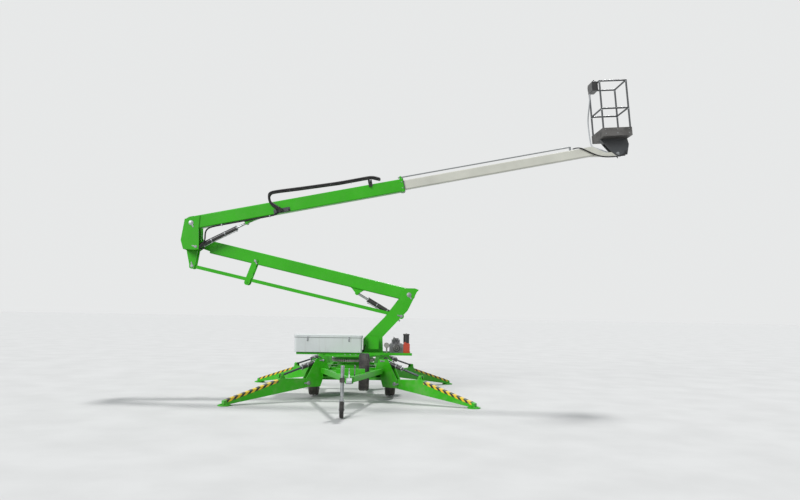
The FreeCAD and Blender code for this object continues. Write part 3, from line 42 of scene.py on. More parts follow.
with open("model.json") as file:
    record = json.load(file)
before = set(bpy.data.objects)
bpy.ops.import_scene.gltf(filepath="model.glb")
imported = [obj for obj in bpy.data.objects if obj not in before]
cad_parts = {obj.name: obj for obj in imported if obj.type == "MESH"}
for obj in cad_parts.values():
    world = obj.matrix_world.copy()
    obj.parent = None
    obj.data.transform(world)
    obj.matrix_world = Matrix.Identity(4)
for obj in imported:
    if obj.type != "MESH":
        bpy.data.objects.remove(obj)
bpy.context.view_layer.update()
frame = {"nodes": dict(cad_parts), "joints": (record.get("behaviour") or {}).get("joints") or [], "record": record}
joints = {joint["name"]: joint for joint in frame["joints"]}


def pivot(name):
    """A hinge's point on its axis, at rest."""
    return Vector(joints[name]["pos_m"])


class Place:
    """A local frame on the object: a point by its distance along a boom, across it and above it."""

    def __init__(self, origin, along, up=(0, 0, 1)):
        self.origin = Vector(origin)
        self.along = Vector(along).normalized()
        self.across = Vector(up).cross(self.along).normalized()
        self.up = self.along.cross(self.across).normalized()
        self.axes = np.array([self.along, self.across, self.up])

    def at(self, points):
        """Row coordinates of one local point or an array of them."""
        return np.asarray(points, float) @ self.axes + np.array(self.origin)

    def moved(self, along=0.0, across=0.0, up=0.0):
        """The same directions from another local point."""
        return Place(self.at((along, across, up)), self.along, self.up)

    def outward(self, side):
        """The way across, to the side that is given as -1 or 1."""
        return np.array(self.across) * side


SLEW = pivot("slew")
LOWER = Place(pivot("lower_boom_raise"), pivot("knuckle_level") - pivot("lower_boom_raise"))
UPPER = Place(pivot("upper_boom_raise"), joints["telescope"]["axis"])
LEG_NAMES = ("front_left", "front_right", "rear_left", "rear_right")
SIDES = (-1, 1)


def leg_place(name):
    """An outrigger's own frame: from its hinge outwards."""
    fold = joints[f"leg_{name}_fold"]
    return Place(fold["pos_m"], Vector(fold["axis"]).cross(Vector((0, 0, 1))))


def around(count):
    """Angles in equal steps over a full turn."""
    return np.arange(count) * 2 * math.pi / count


def corners(box):
    """A box's low corner, its high corner and the middle between them."""
    low, high = (np.array(corner) for corner in box)
    return low, high, (low + high) / 2


# Mesh building

class Kit:
    """Gathers closed surfaces, worked out as arrays, into one mesh."""

    def __init__(self):
        self.points, self.faces, self.count = [], [], 0

    def add(self, points, faces):
        """Adds a closed shell, turned inside out where its signed volume comes out negative."""
        points = np.asarray(points, float).reshape(-1, 3)
        centred = points - points.mean(0)
        volume = 0.0
        for size in {len(face) for face in faces}:
            corners = centred[np.array([face for face in faces if len(face) == size])]
            volume += sum((corners[:, 0] * np.cross(corners[:, k], corners[:, k + 1])).sum()
                          for k in range(1, size - 1))
        step = 1 if volume >= 0 else -1
        self.points.append(points)
        self.faces += [[i + self.count for i in face[::step]] for face in faces]
        self.count += len(points)

    def rings(self, grid, loop=False):
        """Quads between closed rings of points; the rows join up too in a loop, or else get flat ends."""
        grid = np.asarray(grid, float)
        rows, columns = grid.shape[:2]
        i, j = np.meshgrid(np.arange(rows if loop else rows - 1), np.arange(columns), indexing="ij")
        after, below = (j + 1) % columns, (i + 1) % rows
        quads = np.stack([i * columns + j, i * columns + after, below * columns + after, below * columns + j],
                         -1).reshape(-1, 4).tolist()
        if not loop:
            quads += [list(range(columns))[::-1], list(range((rows - 1) * columns, rows * columns))]
        self.add(grid, quads)

    def prism(self, place, outline, low, high, chamfer=0.0):
        """An outline in the along-up plane, stood across from low to high; its rims shrink by the chamfer."""
        flat = np.asarray(outline, float)
        away = flat - flat.mean(0)
        inner = flat - away * chamfer / np.maximum(np.linalg.norm(away, axis=1, keepdims=True), 1e-6)
        steps = ((inner, low), (flat, low + chamfer), (flat, high - chamfer), (inner, high))
        if chamfer == 0:
            steps = ((flat, low), (flat, high))
        self.rings([place.at(np.c_[points[:, 0], np.full(len(points), across), points[:, 1]])
                    for points, across in steps])

    def block(self, place, low, high, chamfer=0.002):
        """A box between two local corners: an eight-sided ring, drawn in by the chamfer at both ends."""
        low, high = np.minimum(low, high), np.maximum(low, high)
        c = min(chamfer, *(0.45 * (high - low)))
        (x0, y0, z0), (x1, y1, z1) = low, high
        ring = np.array([(x0 + c, z0), (x1 - c, z0), (x1, z0 + c), (x1, z1 - c), (x1 - c, z1), (x0 + c, z1),
                         (x0, z1 - c), (x0, z0 + c)])
        middle, half = np.array([x0 + x1, z0 + z1]) / 2, np.array([x1 - x0, z1 - z0]) / 2
        inner = middle + (ring - middle) * (half - c) / half
        self.rings([place.at(np.c_[points[:, 0], np.full(8, y), points[:, 1]])
                    for points, y in ((inner, y0), (ring, y0 + c), (ring, y1 - c), (inner, y1))])

    def lathe(self, start, axis, profile, sides=24, loop=False):
        """A profile of (distance along the axis, radius), carried round it in equal steps of angle.

        A loop's profile closes on itself, as round a bore; otherwise its ends are flat discs."""
        axis = Vector(axis).normalized()
        side = axis.orthogonal().normalized()
        other = axis.cross(side)
        angles = around(sides)[:, None]
        circle = np.cos(angles) * np.array(side) + np.sin(angles) * np.array(other)
        steps = np.array(profile, float)
        grid = (np.array(start) + steps[:, :1, None] * np.array(axis)
                + circle * np.maximum(steps[:, 1:, None], 1e-5))
        self.rings(grid, loop)

    def band(self, start, axis, length, radius, proud, slope, sides):
        """A band on a round tube, whose rims slope up from the tube's radius to stand proud of it."""
        self.lathe(start, axis, ((0, radius), (slope, radius + proud), (length - slope, radius + proud),
                                 (length, radius)), sides)

    def collar(self, place, inner, outer, start, end):
        """A ring between two outlines that lie square to the place's way, from start to end along it."""
        steps = ((inner, start), (outer, start), (outer, end), (inner, end))
        self.rings([place.at(np.c_[np.full(len(loop), along), loop]) for loop, along in steps], loop=True)

    def bolt(self, start, axis, size=0.008):
        """A hexagon head on its washer, with the screw's end in the middle; size is half its width."""
        tall = size * 1.25
        self.lathe(start, axis, ((0, size * 1.45), (size * 0.2, size * 1.45)), 14)
        self.lathe(start, axis, ((0, size), (tall * 0.85, size), (tall, size * 0.82)), 6)
        self.lathe(start, axis, ((tall * 0.9, size * 0.45), (tall * 1.2, size * 0.40)), 8)

    def tube(self, points, radius, sides=12, passes=3):
        """A round section carried along a path whose corners are cut at a quarter of each run, pass by pass.

        Each ring lies square to the path, turned by the normal of the plane that fits the path best."""
        path = np.asarray(points, float)
        for _ in range(passes):
            halves = np.stack([path[:-1] * 0.75 + path[1:] * 0.25, path[:-1] * 0.25 + path[1:] * 0.75], 1)
            path = np.concatenate([path[:1], halves.reshape(-1, 3)[1:-1], path[-1:]])
        tangent = np.gradient(path, axis=0)
        tangent /= np.linalg.norm(tangent, axis=1, keepdims=True)
        plane = np.linalg.svd(path - path.mean(0))[2][2]
        first = np.cross(tangent, plane)
        first /= np.linalg.norm(first, axis=1, keepdims=True)
        second = np.cross(tangent, first)
        angles = around(sides)[None, :, None]
        circle = np.cos(angles) * first[:, None] + np.sin(angles) * second[:, None]
        self.rings(path[:, None] + radius * circle)

    def scatter(self, points, faces, moves):
        """Copies of a small closed shape, each shifted by one row of moves."""
        points, moves = np.asarray(points, float), np.asarray(moves, float)
        copies = (points[None] + moves[:, None]).reshape(-1, 3)
        shift = np.arange(len(moves))[:, None, None] * len(points)
        self.add(copies, (np.array(faces)[None] + shift).reshape(-1, len(faces[0])).tolist())

    def build(self, name, material, body, slot, smooth_angle=35):
        """Makes the object and gives it its material; it rides on the named body, or is fixed in place where the
        body is given as a tuple.
        """
        mesh = bpy.data.meshes.new(name)
        mesh.from_pydata(np.concatenate(self.points).tolist(), [], self.faces)
        mesh.materials.append(material)
        mesh.polygons.foreach_set("use_smooth", np.ones(len(mesh.polygons), bool))
        mesh.set_sharp_from_angle(angle=math.radians(smooth_angle))
        made = bpy.data.objects.new(name, mesh)
        bpy.context.scene.collection.objects.link(made)
        if isinstance(body, tuple):
            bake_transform(made)
        else:
            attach(made, body)
        return made


# Materials

class Nodes:
    """Short names for making a node material."""

    def __init__(self, name):
        self.material = bpy.data.materials.new(name)
        self.material.use_nodes = True
        self.tree = self.material.node_tree
        self.shader = self.tree.nodes["Principled BSDF"]
        self.position = self.tree.nodes.new("ShaderNodeTexCoord").outputs["Object"]

    def node(self, kind, **values):
        made = self.tree.nodes.new("ShaderNode" + kind)
        for key, value in values.items():
            if key in made.inputs:
                self.put(value, made.inputs[key])
            else:
                setattr(made, key, value)
        return made

    def put(self, value, socket):
        if isinstance(value, bpy.types.NodeSocket):
            self.tree.links.new(value, socket)
        else:
            socket.default_value = value

    def noise(self, scale, detail=4.0, stretch=None):
        """Noise from 0 to 1 over the object's own place."""
        source = self.position
        if stretch:
            source = self.node("Mapping", Vector=source, Scale=stretch).outputs["Vector"]
        return self.node("TexNoise", Vector=source, Scale=scale, Detail=detail).outputs["Fac"]

    def ramp(self, value, low, high, start=0.0, end=1.0):
        """Maps low..high to start..end with an even slope, clamped."""
        values = {"Value": value, "From Min": low, "From Max": high, "To Min": start, "To Max": end}
        return self.node("MapRange", **values).outputs["Result"]

    def math(self, operation, a, b=0.0):
        made = self.node("Math", operation=operation)
        self.put(a, made.inputs[0])
        self.put(b, made.inputs[1])
        return made.outputs[0]

    def mix(self, share, a, b):
        made = self.node("Mix", data_type="RGBA")
        self.put(share, made.inputs["Factor"])
        for key, value in (("A", a), ("B", b)):
            socket = [s for s in made.inputs if s.name == key and s.type == "RGBA"][0]
            self.put(value if isinstance(value, bpy.types.NodeSocket) else (*value, 1.0), socket)
        return [s for s in made.outputs if s.type == "RGBA"][0]

    def bump(self, height, distance, strength=0.5, normal=None):
        made = self.node("Bump", Strength=strength, Distance=distance, Height=height)
        if normal is not None:
            self.put(normal, made.inputs["Normal"])
        return made.outputs["Normal"]

    def bevel(self, radius):
        return self.node("Bevel", samples=4, Radius=radius).outputs["Normal"]

    def finish(self, colour, rough, normal=None, metallic=0.0, coat=0.0, specular=0.5):
        if isinstance(colour, tuple):
            colour = (*colour, 1.0)
        values = {"Base Color": colour, "Roughness": rough, "Metallic": metallic, "Coat Weight": coat,
                  "Coat Roughness": 0.12, "Specular IOR Level": specular}
        for key, value in values.items():
            self.put(value, self.shader.inputs[key])
        if normal is not None:
            self.put(normal, self.shader.inputs["Normal"])
        return self.material


def height_above_ground(kit):
    """The place's own height, from the ground up."""
    return kit.node("SeparateXYZ", Vector=kit.position).outputs["Z"]


def enamel(name, colour, rough=0.28, coat=0.5, dust=0.5, edge=0.003, peel=0.35, specular=0.5):
    """Sprayed machine enamel: slight mottling, orange peel, road dust low down and in broad patches."""
    kit = Nodes(name)
    broad = kit.noise(1.6, 5.0)
    fine = kit.noise(45.0, 3.0)
    shade = tuple(c * 0.82 for c in colour)
    paint = kit.mix(kit.ramp(broad, 0.3, 0.7), shade, colour)
    low = kit.ramp(height_above_ground(kit), 0.15, 1.0, dust * 0.9, dust * 0.16)
    patches = kit.ramp(kit.math("MULTIPLY", kit.noise(3.5, 7.0), kit.noise(11.0, 5.0)), 0.2, 0.42)
    grime = kit.math("MULTIPLY", low, patches)
    dusty = kit.mix(grime, paint, (0.36, 0.32, 0.25))
    specks = kit.ramp(kit.noise(160.0, 2.0), 0.70, 0.74, 0.0, 0.35 * dust)
    worn = kit.mix(specks, dusty, (0.10, 0.09, 0.08))
    roughness = kit.math("ADD", kit.ramp(fine, 0.3, 0.7, rough - 0.05, rough + 0.07),
                         kit.math("MULTIPLY", grime, 0.45))
    normal = kit.bump(kit.noise(260.0, 1.0), 0.0006, peel * 0.5, kit.bevel(edge))
    return kit.finish(worn, roughness, normal, coat=coat, specular=specular)


def metal(name, colour, rough=0.3, streak=(1.0, 1.0, 1.0), edge=0.0015, tarnish=0.35):
    """Bare or plated steel with fine working marks and dull patches."""
    kit = Nodes(name)
    marks = kit.noise(90.0, 6.0, stretch=streak)
    dull = kit.ramp(kit.noise(7.0, 5.0), 0.42, 0.68, 0.0, tarnish)
    base = kit.mix(kit.ramp(marks, 0.3, 0.7), tuple(c * 0.8 for c in colour), colour)
    shaded = kit.mix(dull, base, tuple(c * 0.38 for c in colour))
    roughness = kit.math("ADD", kit.ramp(marks, 0.3, 0.7, rough - 0.06, rough + 0.08),
                         kit.math("MULTIPLY", dull, 0.35))
    return kit.finish(shaded, roughness, kit.bump(marks, 0.0004, 0.4, kit.bevel(edge)), metallic=1.0)


def rubber(name, colour, rough=0.62, dust=0.5):
    """Black rubber, greyed by dust where it has rolled or lain."""
    kit = Nodes(name)
    low_down = kit.ramp(height_above_ground(kit), 0.0, 0.8, 1.0, 0.55)
    dusty = kit.ramp(kit.math("MULTIPLY", kit.noise(9.0, 7.0), low_down), 0.2, 0.6, 0.0, dust)
    base = kit.mix(dusty, colour, (0.21, 0.19, 0.165))
    return kit.finish(base, kit.ramp(kit.noise(30.0), 0.3, 0.7, rough - 0.06, rough + 0.12),
                      kit.bump(kit.noise(420.0, 2.0), 0.0004, 0.5), specular=0.35)


def moulded(name, colour, rough=0.4, coat=0.0):
    """Moulded plastic or gel coat: fine grain, faint marbling and handling marks."""
    kit = Nodes(name)
    base = kit.mix(kit.ramp(kit.noise(2.5, 4.0), 0.35, 0.65), tuple(c * 0.92 for c in colour), colour)
    streaks = kit.ramp(kit.noise(3.0, 6.0, stretch=(6.0, 6.0, 0.6)), 0.55, 0.78, 0.0, 0.30)
    marked = kit.mix(streaks, base, (0.34, 0.31, 0.26))
    return kit.finish(marked, kit.ramp(kit.noise(25.0), 0.3, 0.7, rough - 0.05, rough + 0.08),
                      kit.bump(kit.noise(500.0, 2.0), 0.0003, 0.35, kit.bevel(0.003)), coat=coat)


def hazard(name, place, pitch=0.095):
    """Slanting yellow and black bars, by distance along a leg and height."""
    kit = Nodes(name)
    direction = np.array(place.along) + np.array((0.0, 0.0, 0.9))
    product = kit.node("VectorMath", operation="DOT_PRODUCT")
    kit.put(kit.position, product.inputs[0])
    product.inputs[1].default_value = tuple(direction)
    cycle = kit.math("FRACT", kit.math("DIVIDE", product.outputs["Value"], pitch))
    bar = kit.ramp(cycle, 0.499, 0.501)
    colours = kit.mix(bar, (0.80, 0.54, 0.015), (0.018, 0.018, 0.018))
    scuffed = kit.mix(kit.ramp(kit.noise(14.0, 8.0), 0.56, 0.70, 0.0, 0.6), colours, (0.24, 0.22, 0.17))
    return kit.finish(scuffed, kit.ramp(kit.noise(30.0), 0.3, 0.7, 0.35, 0.5),
                      kit.bump(kit.noise(300.0), 0.0004, 0.3))


GREEN = (0.040, 0.460, 0.006)
PAINTS = {
    "green_paint": enamel("green_paint", GREEN, rough=0.34, coat=0.10, dust=0.24, specular=0.30),
    "cream_paint": enamel("cream_paint", (0.66, 0.66, 0.58), rough=0.3, coat=0.25, dust=0.35),
    "cover_grey": moulded("cover_grey", (0.66, 0.69, 0.69), rough=0.32, coat=0.3),
    "black_paint": enamel("black_paint", (0.018, 0.018, 0.020), rough=0.35, coat=0.2, dust=0.35),
    "dark_steel": enamel("dark_steel", (0.055, 0.060, 0.065), rough=0.4, coat=0.1, dust=0.25),
    "grey_link": enamel("grey_link", (0.27, 0.285, 0.29), rough=0.38, coat=0.1, dust=0.3),
    "bare_steel": metal("bare_steel", (0.42, 0.41, 0.39), rough=0.4, tarnish=0.6),
    "chrome_rod": metal("chrome_rod", (0.46, 0.47, 0.48), rough=0.16, tarnish=0.2),
    "dark_rod": metal("dark_rod", (0.085, 0.090, 0.105), rough=0.24, tarnish=0.2),
    "zinc_tube": metal("zinc_tube", (0.40, 0.42, 0.43), rough=0.42, tarnish=0.45),
    "tyre_rubber": rubber("tyre_rubber", (0.017, 0.017, 0.018)),
    "hose_rubber": rubber("hose_rubber", (0.013, 0.013, 0.014), rough=0.5, dust=0.2),
    "wheel_paint": enamel("wheel_paint", (0.55, 0.56, 0.55), rough=0.33, coat=0.3, dust=0.6),
    "engine_metal": metal("engine_metal", (0.26, 0.26, 0.27), rough=0.5, tarnish=0.5),
    "engine_red": enamel("engine_red", (0.56, 0.045, 0.012), rough=0.3, dust=0.2),
    "floor_metal": metal("floor_metal", (0.17, 0.165, 0.16), rough=0.55, tarnish=0.5),
}

# The outrigger rods are dark, and the basket's bracket is painted darker than its cage
OTHER_FINISHES = {"basket_bracket": "dark_steel"}
OTHER_FINISHES.update({f"leg_{name}_rod": "dark_rod" for name in LEG_NAMES})

for part in frame["record"]["subparts"]:
    piece = frame["nodes"][part["node"]]
    piece.data.materials.clear()
    piece.data.materials.append(PAINTS[OTHER_FINISHES.get(part["node"], part["material_slot"])])


LAMP_RED = moulded("switch_red", (0.55, 0.02, 0.015), rough=0.3)
SWITCH_GREY = moulded("switch_grey", (0.20, 0.21, 0.22), rough=0.45)
PALE_HOSE = moulded("pale_conduit", (0.52, 0.54, 0.56), rough=0.5)


def put(kit, name, slot, body, angle=35, paint=None):
    return kit.build(name, paint or PAINTS[slot], body, slot, angle)


# Wheels

TYRE_RADIUS, TYRE_HALF, BEAD_RADIUS = 0.319, 0.089, 0.183
TREAD_DEPTH, TREAD_PITCHES = 0.008, 60
HUB_EDGE, DISC_EDGE, DISC_OUT = 0.049, 0.146, 0.0315
PIT_COUNT, PIT_CIRCLE = 10, 0.113


def round_axle(centre, out, radius, turn):
    """Points by their distance out along the axle, their radius and their turn."""
    y, z = centre[1] + radius * np.cos(turn), centre[2] + radius * np.sin(turn)
    return np.stack([centre[0] + out, y, z], -1)


def signed_power(wave, power):
    return np.sign(wave) * np.abs(wave) ** power


def tyre_surface(kit, centre):
    """The section is a squared ring: across = half width times cos t to the power 0.45, and radius = middle
    plus half height times sin t to the power 0.5, both with their signs, over t from 0 to a full turn. It
    is carried round the wheel. On the crown, two straight grooves and zigzag cross grooves that repeat 60
    times a turn take up to 8 mm off the radius, and a row of small ribs circles each side wall."""
    t = np.linspace(0, 2 * math.pi, 56, endpoint=False) + 0.01
    turn = np.linspace(0, 2 * math.pi, TREAD_PITCHES * 7, endpoint=False)[:, None]
    middle, tall = (TYRE_RADIUS + BEAD_RADIUS) / 2, (TYRE_RADIUS - BEAD_RADIUS) / 2
    across = TYRE_HALF * signed_power(np.cos(t), 0.45) * (1 - 0.10 * np.abs(np.sin(t)) ** 3)
    radius = middle + tall * signed_power(np.sin(t), 0.5)
    crown = np.clip((radius - TYRE_RADIUS + 0.022) / 0.015, 0, 1) * (np.sin(t) > 0)
    ring_groove = np.clip(1.6 - np.abs(np.abs(across) - 0.027) / 0.0045, 0, 1)
    wave = np.abs((turn * TREAD_PITCHES / (2 * math.pi) + 0.30 * np.abs(across) / 0.03) % 1 - 0.5)
    cross_groove = np.clip(1.5 - wave / 0.12, 0, 1) * (np.abs(across) > 0.020)
    radius = radius - TREAD_DEPTH * crown * np.maximum(ring_groove, cross_groove)
    rib = 0.0012 * np.cos(turn * 90) * np.exp(-((radius - middle - 0.03) / 0.012) ** 2) * (1 - crown)
    kit.rings(round_axle(centre, across + rib * np.sign(across), radius, turn), loop=True)


def wheel_face(kit, centre, side):
    """A pressed disc over radius r and turn a: it bulges out by 9 mm halfway between hub and rim, and ten
    round pits of 13 mm radius sink 8 mm into it. Its back is the same grid, 3 mm further in."""
    r = np.linspace(HUB_EDGE, DISC_EDGE, 22)[None, :]
    a = np.linspace(0, 2 * math.pi, 160, endpoint=False)[:, None]
    bulge = 0.009 * np.sin(np.pi * (r - HUB_EDGE) / (DISC_EDGE - HUB_EDGE)) ** 2
    nearest = (a * PIT_COUNT / (2 * math.pi) + 0.5) % 1 - 0.5
    distance = np.hypot(r - PIT_CIRCLE, nearest * 2 * math.pi / PIT_COUNT * PIT_CIRCLE)
    face = DISC_OUT + bulge - 0.008 * np.clip((0.015 - distance) / 0.004, 0, 1)
    radius = np.concatenate([r + 0 * a, (r + 0 * a)[:, ::-1]], 1)
    out = np.concatenate([face, face[:, ::-1] - 0.003], 1)
    kit.rings(round_axle(centre, side * out, radius, a), loop=True)


def wheel(label, body, side):
    """The tyre's tread, the pressed disc, and the nuts, hub cap and valve."""
    centre = corners(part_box("tyre_" + label))[2]
    tyre, disc, nuts = Kit(), Kit(), Kit()
    tyre_surface(tyre, centre)
    made = put(tyre, "tread_" + label, "tyre_rubber", body, 32)
    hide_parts("tyre_" + label)
    wheel_face(disc, centre, side)
    put(disc, "wheel_disc_" + label, "wheel_paint", body, 50)
    for turn in around(5):
        spot = centre + (side * 0.038, 0.072 * math.cos(turn), 0.072 * math.sin(turn))
        nuts.bolt(spot, (side, 0, 0), 0.010)
    nuts.lathe(centre + (side * 0.050, 0, 0), (side, 0, 0),
               ((0, 0.040), (0.012, 0.040), (0.024, 0.034), (0.028, 0.022), (0.029, 0.001)), 32)
    valve = ((side * 0.036, 0.0, 0.130), (side * 0.050, 0.0, 0.134), (side * 0.062, 0.0, 0.128))
    nuts.tube(centre + np.array(valve), 0.0035, 8)
    put(nuts, "wheel_nuts_" + label, "zinc_tube", body)


wheel("left", "wheel_left", -1)
wheel("right", "wheel_right", 1)
wheel("spare", "chassis", -1)


# Pins: a cap with a grease nipple over each end, and a keeper plate with two bolts beside it

PLATE_FACE, EAR_FACE, CHEEK_FACE = 0.107, 0.065, 0.065  # from the pin's middle to the steel's outer face


def pin_cap(kit, place, face, side, radius):
    start, out = place.at((0, side * face, 0)), place.outward(side)
    proud, nipple = 0.0095, 0.0045
    kit.lathe(start, out, ((0, radius * 1.55), (0.004, radius * 1.55), (0.006, radius * 1.42),
                           (0.006, radius * 1.1), (proud, radius * 1.06), (proud + 0.002, radius * 0.92),
                           (proud + 0.002, nipple)), 28)
    kit.lathe(start + out * proud, out,
              ((0, nipple), (0.006, nipple), (0.007, 0.0025), (0.011, 0.0030), (0.012, 0.001)), 10)
    low, high, keeper_face = radius * 1.7, radius * 1.7 + 0.042, side * (face + 0.005)
    kit.block(place, (low - 0.006, side * face, -0.012), (high + 0.006, keeper_face, 0.012), 0.0015)
    for along in (low + 0.006, high - 0.006):
        kit.bolt(place.at((along, keeper_face, 0)), out, 0.0065)


KEEPER_DOWN, KEEPER_UP, KEEPER_BACK = (0.5, 0, -0.86), (-0.2, 0, 1), (-1, 0, 0.25)
PINS = (
    # piece, body, hinge at its middle, shift in X and Z, half span, pin radius, which way the keeper lies
    ("tower_pins", "turret", "lower_boom_raise", (0, 0), PLATE_FACE, 0.030, KEEPER_DOWN),
    ("tower_pins", "turret", "tie_bar_swing", (0, 0), PLATE_FACE, 0.020, KEEPER_BACK),
    ("tower_pins", "turret", "lift_barrel_swing", (0, 0), 0.062, 0.020, KEEPER_DOWN),
    ("knuckle_pins", "knuckle_body", "knuckle_level", (0, 0), PLATE_FACE, 0.030, KEEPER_BACK),
    ("knuckle_pins", "knuckle_body", "knuckle_level", (-0.145, -0.420), PLATE_FACE, 0.020, KEEPER_UP),
    ("knuckle_pins", "knuckle_body", "upper_boom_raise", (0, 0), PLATE_FACE, 0.030, KEEPER_DOWN),
    ("knuckle_pins", "knuckle_body", "luff_barrel_swing", (0, 0), PLATE_FACE, 0.017, KEEPER_BACK),
    ("link_pins", "link_body", "link_swing", (0, 0), 0.112, 0.016, KEEPER_DOWN),
    ("basket_pins", "basket_body", "basket_level", (0, 0), EAR_FACE, 0.020, KEEPER_DOWN),
)
pin_kits = {}
for piece, body, hinge, (dx, dz), face, radius, keeper in PINS:
    kit = pin_kits.setdefault((piece, body), Kit())
    centre = Place(pivot(hinge) + Vector((dx, 0, dz)), keeper)
    for side in SIDES:
        pin_cap(kit, centre, face, side, radius)
for (piece, body), kit in pin_kits.items():
    put(kit, piece, "zinc_tube", body)


# Hydraulic cylinders: a steel pipe along each barrel with its unions and bands, the gland, and two hoses

# Name, the barrel's length and radius, the pin's and the rod's radius, and the pipe's side: 1 above, -1 below
CYLINDERS = [(f"leg_{name}", 0.425, 0.036, 0.014, 0.017, 1) for name in LEG_NAMES]
CYLINDERS += [("lift", 0.690, 0.046, 0.020, 0.024, -1), ("luff", 0.850, 0.042, 0.017, 0.020, -1)]
for name, length, radius, pin, rod, above in CYLINDERS:
    body = name + "_barrel_body"
    line = Place(pivot(name + "_barrel_swing"), joints[name + "_rod_travel"]["axis"], (0, 0, above))
    fittings, hoses = Kit(), Kit()
    first, last, off = 0.12 * length + 0.03, length - 0.030, radius + 0.010
    seat, low, high = radius - 0.002, radius + 0.0005, radius + 0.0025
    fittings.tube(line.at([(first, 0, off + 0.012), (first + 0.03, 0, off), (last - 0.03, 0, off),
                           (last, 0, off + 0.012)]), 0.0055, 10)
    for along in (first, last):
        fittings.lathe(line.at((along, 0, seat)), line.up,
                       ((0, 0.013), (0.012, 0.013), (0.012, 0.0095), (0.026, 0.0095), (0.028, 0.007)), 6)
    for share in (0.35, 0.68):
        clamp = line.moved(share * length)
        section = ((0, seat), (0, low), (0.001, high), (0.017, high), (0.018, low), (0.018, seat))
        fittings.lathe(clamp.origin, line.along, section, 40, True)
        fittings.block(clamp, (0, -0.010, radius), (0.018, 0.010, off + 0.007), 0.002)
    fittings.lathe(line.at((length - 0.014, 0, 0)), line.along,
                   ((0, seat), (0, radius + 0.0055), (0.010, radius + 0.0055), (0.0145, radius + 0.002),
                    (0.0145, rod + 0.004), (0.012, rod + 0.003)), 40, True)
    put(fittings, name + "_fittings", "zinc_tube", body)
    over = ((first, 0, off + 0.018), (first - 0.03, 0, off + 0.036), (first - 0.07, 0.012, off + 0.018),
            (0.5 * pin, 0.018, off - 0.004), (-pin, 0.018, pin * 1.3), (-pin * 1.6, 0.018, -0.004))
    beside = ((first, 0, off + 0.006), (first - 0.025, -0.02, off + 0.012), (0.02, -0.024, off - 0.008),
              (-pin, -0.022, pin * 1.2), (-pin * 1.6, -0.020, -0.008))
    for route in (over, beside):
        hoses.tube(line.at(route), 0.0085)
    put(hoses, name + "_hoses", "hose_rubber", body, 60)


# Outriggers: warning tape on the top and sides of each arm, bosses at the rod's eye, short welds, ribs and a
# rim on the foot plate, and the caps of the pins in the chassis's cheeks

REACH, KNEE, KNEE_TOP, ARM_HALF = 1.5143, 0.500, 0.098, 0.046
ARM_END, TIP_TOP = REACH - 0.020, -0.204
TAPE_FROM, TAPE_TO, TAPE_WIDE, TAPE_THICK = 0.575, ARM_END - 0.004, 0.042, 0.0012
EYE_UP, PLATE_TOP = 0.146, -0.286


def arm_top(along):
    """Height of the arm's top edge over its hinge, from the knee to the foot."""
    return KNEE_TOP + (TIP_TOP - KNEE_TOP) * (along - KNEE) / (ARM_END - KNEE)


def tape_outline(low, high):
    """The tape's length between two heights over the arm's top edge."""
    a0, a1, h0, h1 = TAPE_FROM, TAPE_TO, arm_top(TAPE_FROM), arm_top(TAPE_TO)
    return (a0, h0 + low), (a1, h1 + low), (a1, h1 + high), (a0, h0 + high)


for name in LEG_NAMES:
    leg = leg_place(name)
    tape, trim, caps = Kit(), Kit(), Kit()
    for side in SIDES:
        faces = sorted((side * ARM_HALF, side * (ARM_HALF + TAPE_THICK)))
        tape.prism(leg, tape_outline(-TAPE_WIDE, -0.001), *faces)
    tape.prism(leg, tape_outline(0, TAPE_THICK), -ARM_HALF + 0.001, ARM_HALF - 0.001)
    tape.build("warning_tape_" + name, hazard("warning_tape_" + name, leg), "leg_" + name, "green_paint")
    foot = leg.moved(REACH, 0, PLATE_TOP)
    for turn in around(8):
        rib = Place(foot.origin, (math.cos(turn), math.sin(turn), 0))
        trim.prism(rib, ((0.052, 0), (0.104, 0), (0.100, 0.004), (0.052, 0.020)), -0.003, 0.003)
    trim.lathe(foot.origin, (0, 0, 1), ((0, 0.106), (0.003, 0.106), (0.005, 0.102), (0.005, 0.060)), 40)
    eye = leg.moved(KNEE, 0, EYE_UP)
    base = Place(pivot(f"leg_{name}_barrel_swing"), leg.along)
    for side in SIDES:
        trim.lathe(eye.at((0, side * 0.047, 0)), leg.outward(side),
                   ((0, 0.026), (0.006, 0.026), (0.008, 0.022), (0.008, 0.002)), 24)
        for share in (0.06, 0.92):
            along, face = KNEE + (ARM_END - KNEE) * share, side * (ARM_HALF + 0.0002)
            up = arm_top(along) - 0.070
            trim.tube(leg.at([(along, face, up), (along + 0.01, face, up - 0.005)]), 0.004, 8, 0)
        pin_cap(caps, leg, CHEEK_FACE, side, 0.022)
        pin_cap(caps, base, CHEEK_FACE, side, 0.014)
    put(trim, "foot_trim_" + name, "green_paint", "leg_" + name)
    put(caps, "outrigger_pins_" + name, "zinc_tube", "chassis")


# Bolt circles of the slew ring and the turret deck

def bolt_circle(name, slot, body, height, radius, count):
    kit = Kit()
    for turn in around(count) + math.pi / count:
        spot = (SLEW.x + radius * math.cos(turn), SLEW.y + radius * math.sin(turn), height)
        kit.bolt(spot, (0, 0, 1), 0.011)
    put(kit, name, slot, body)


deck_top = SLEW.z
bolt_circle("slew_ring_bolts", "bare_steel", "chassis", 0.620, 0.345, 24)
bolt_circle("deck_bolts", "zinc_tube", "turret", deck_top, 0.330, 20)

# Hydraulic cover: a gasket under the lid, latches and hinges, louvres in the end away from the tower, and
# a row of rivets along the foot of the near face

cover_low, cover_high, cover_mid = corners(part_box("hydraulic_cover"))
near_face, far_face = cover_low[1] + 0.008, cover_high[1] - 0.008
seam = cover_high[2] - 0.040
half_x, half_y = (cover_high - cover_low)[:2] / 2 - 0.0045
gasket, latches, louvres, rivets = Kit(), Kit(), Kit(), Kit()


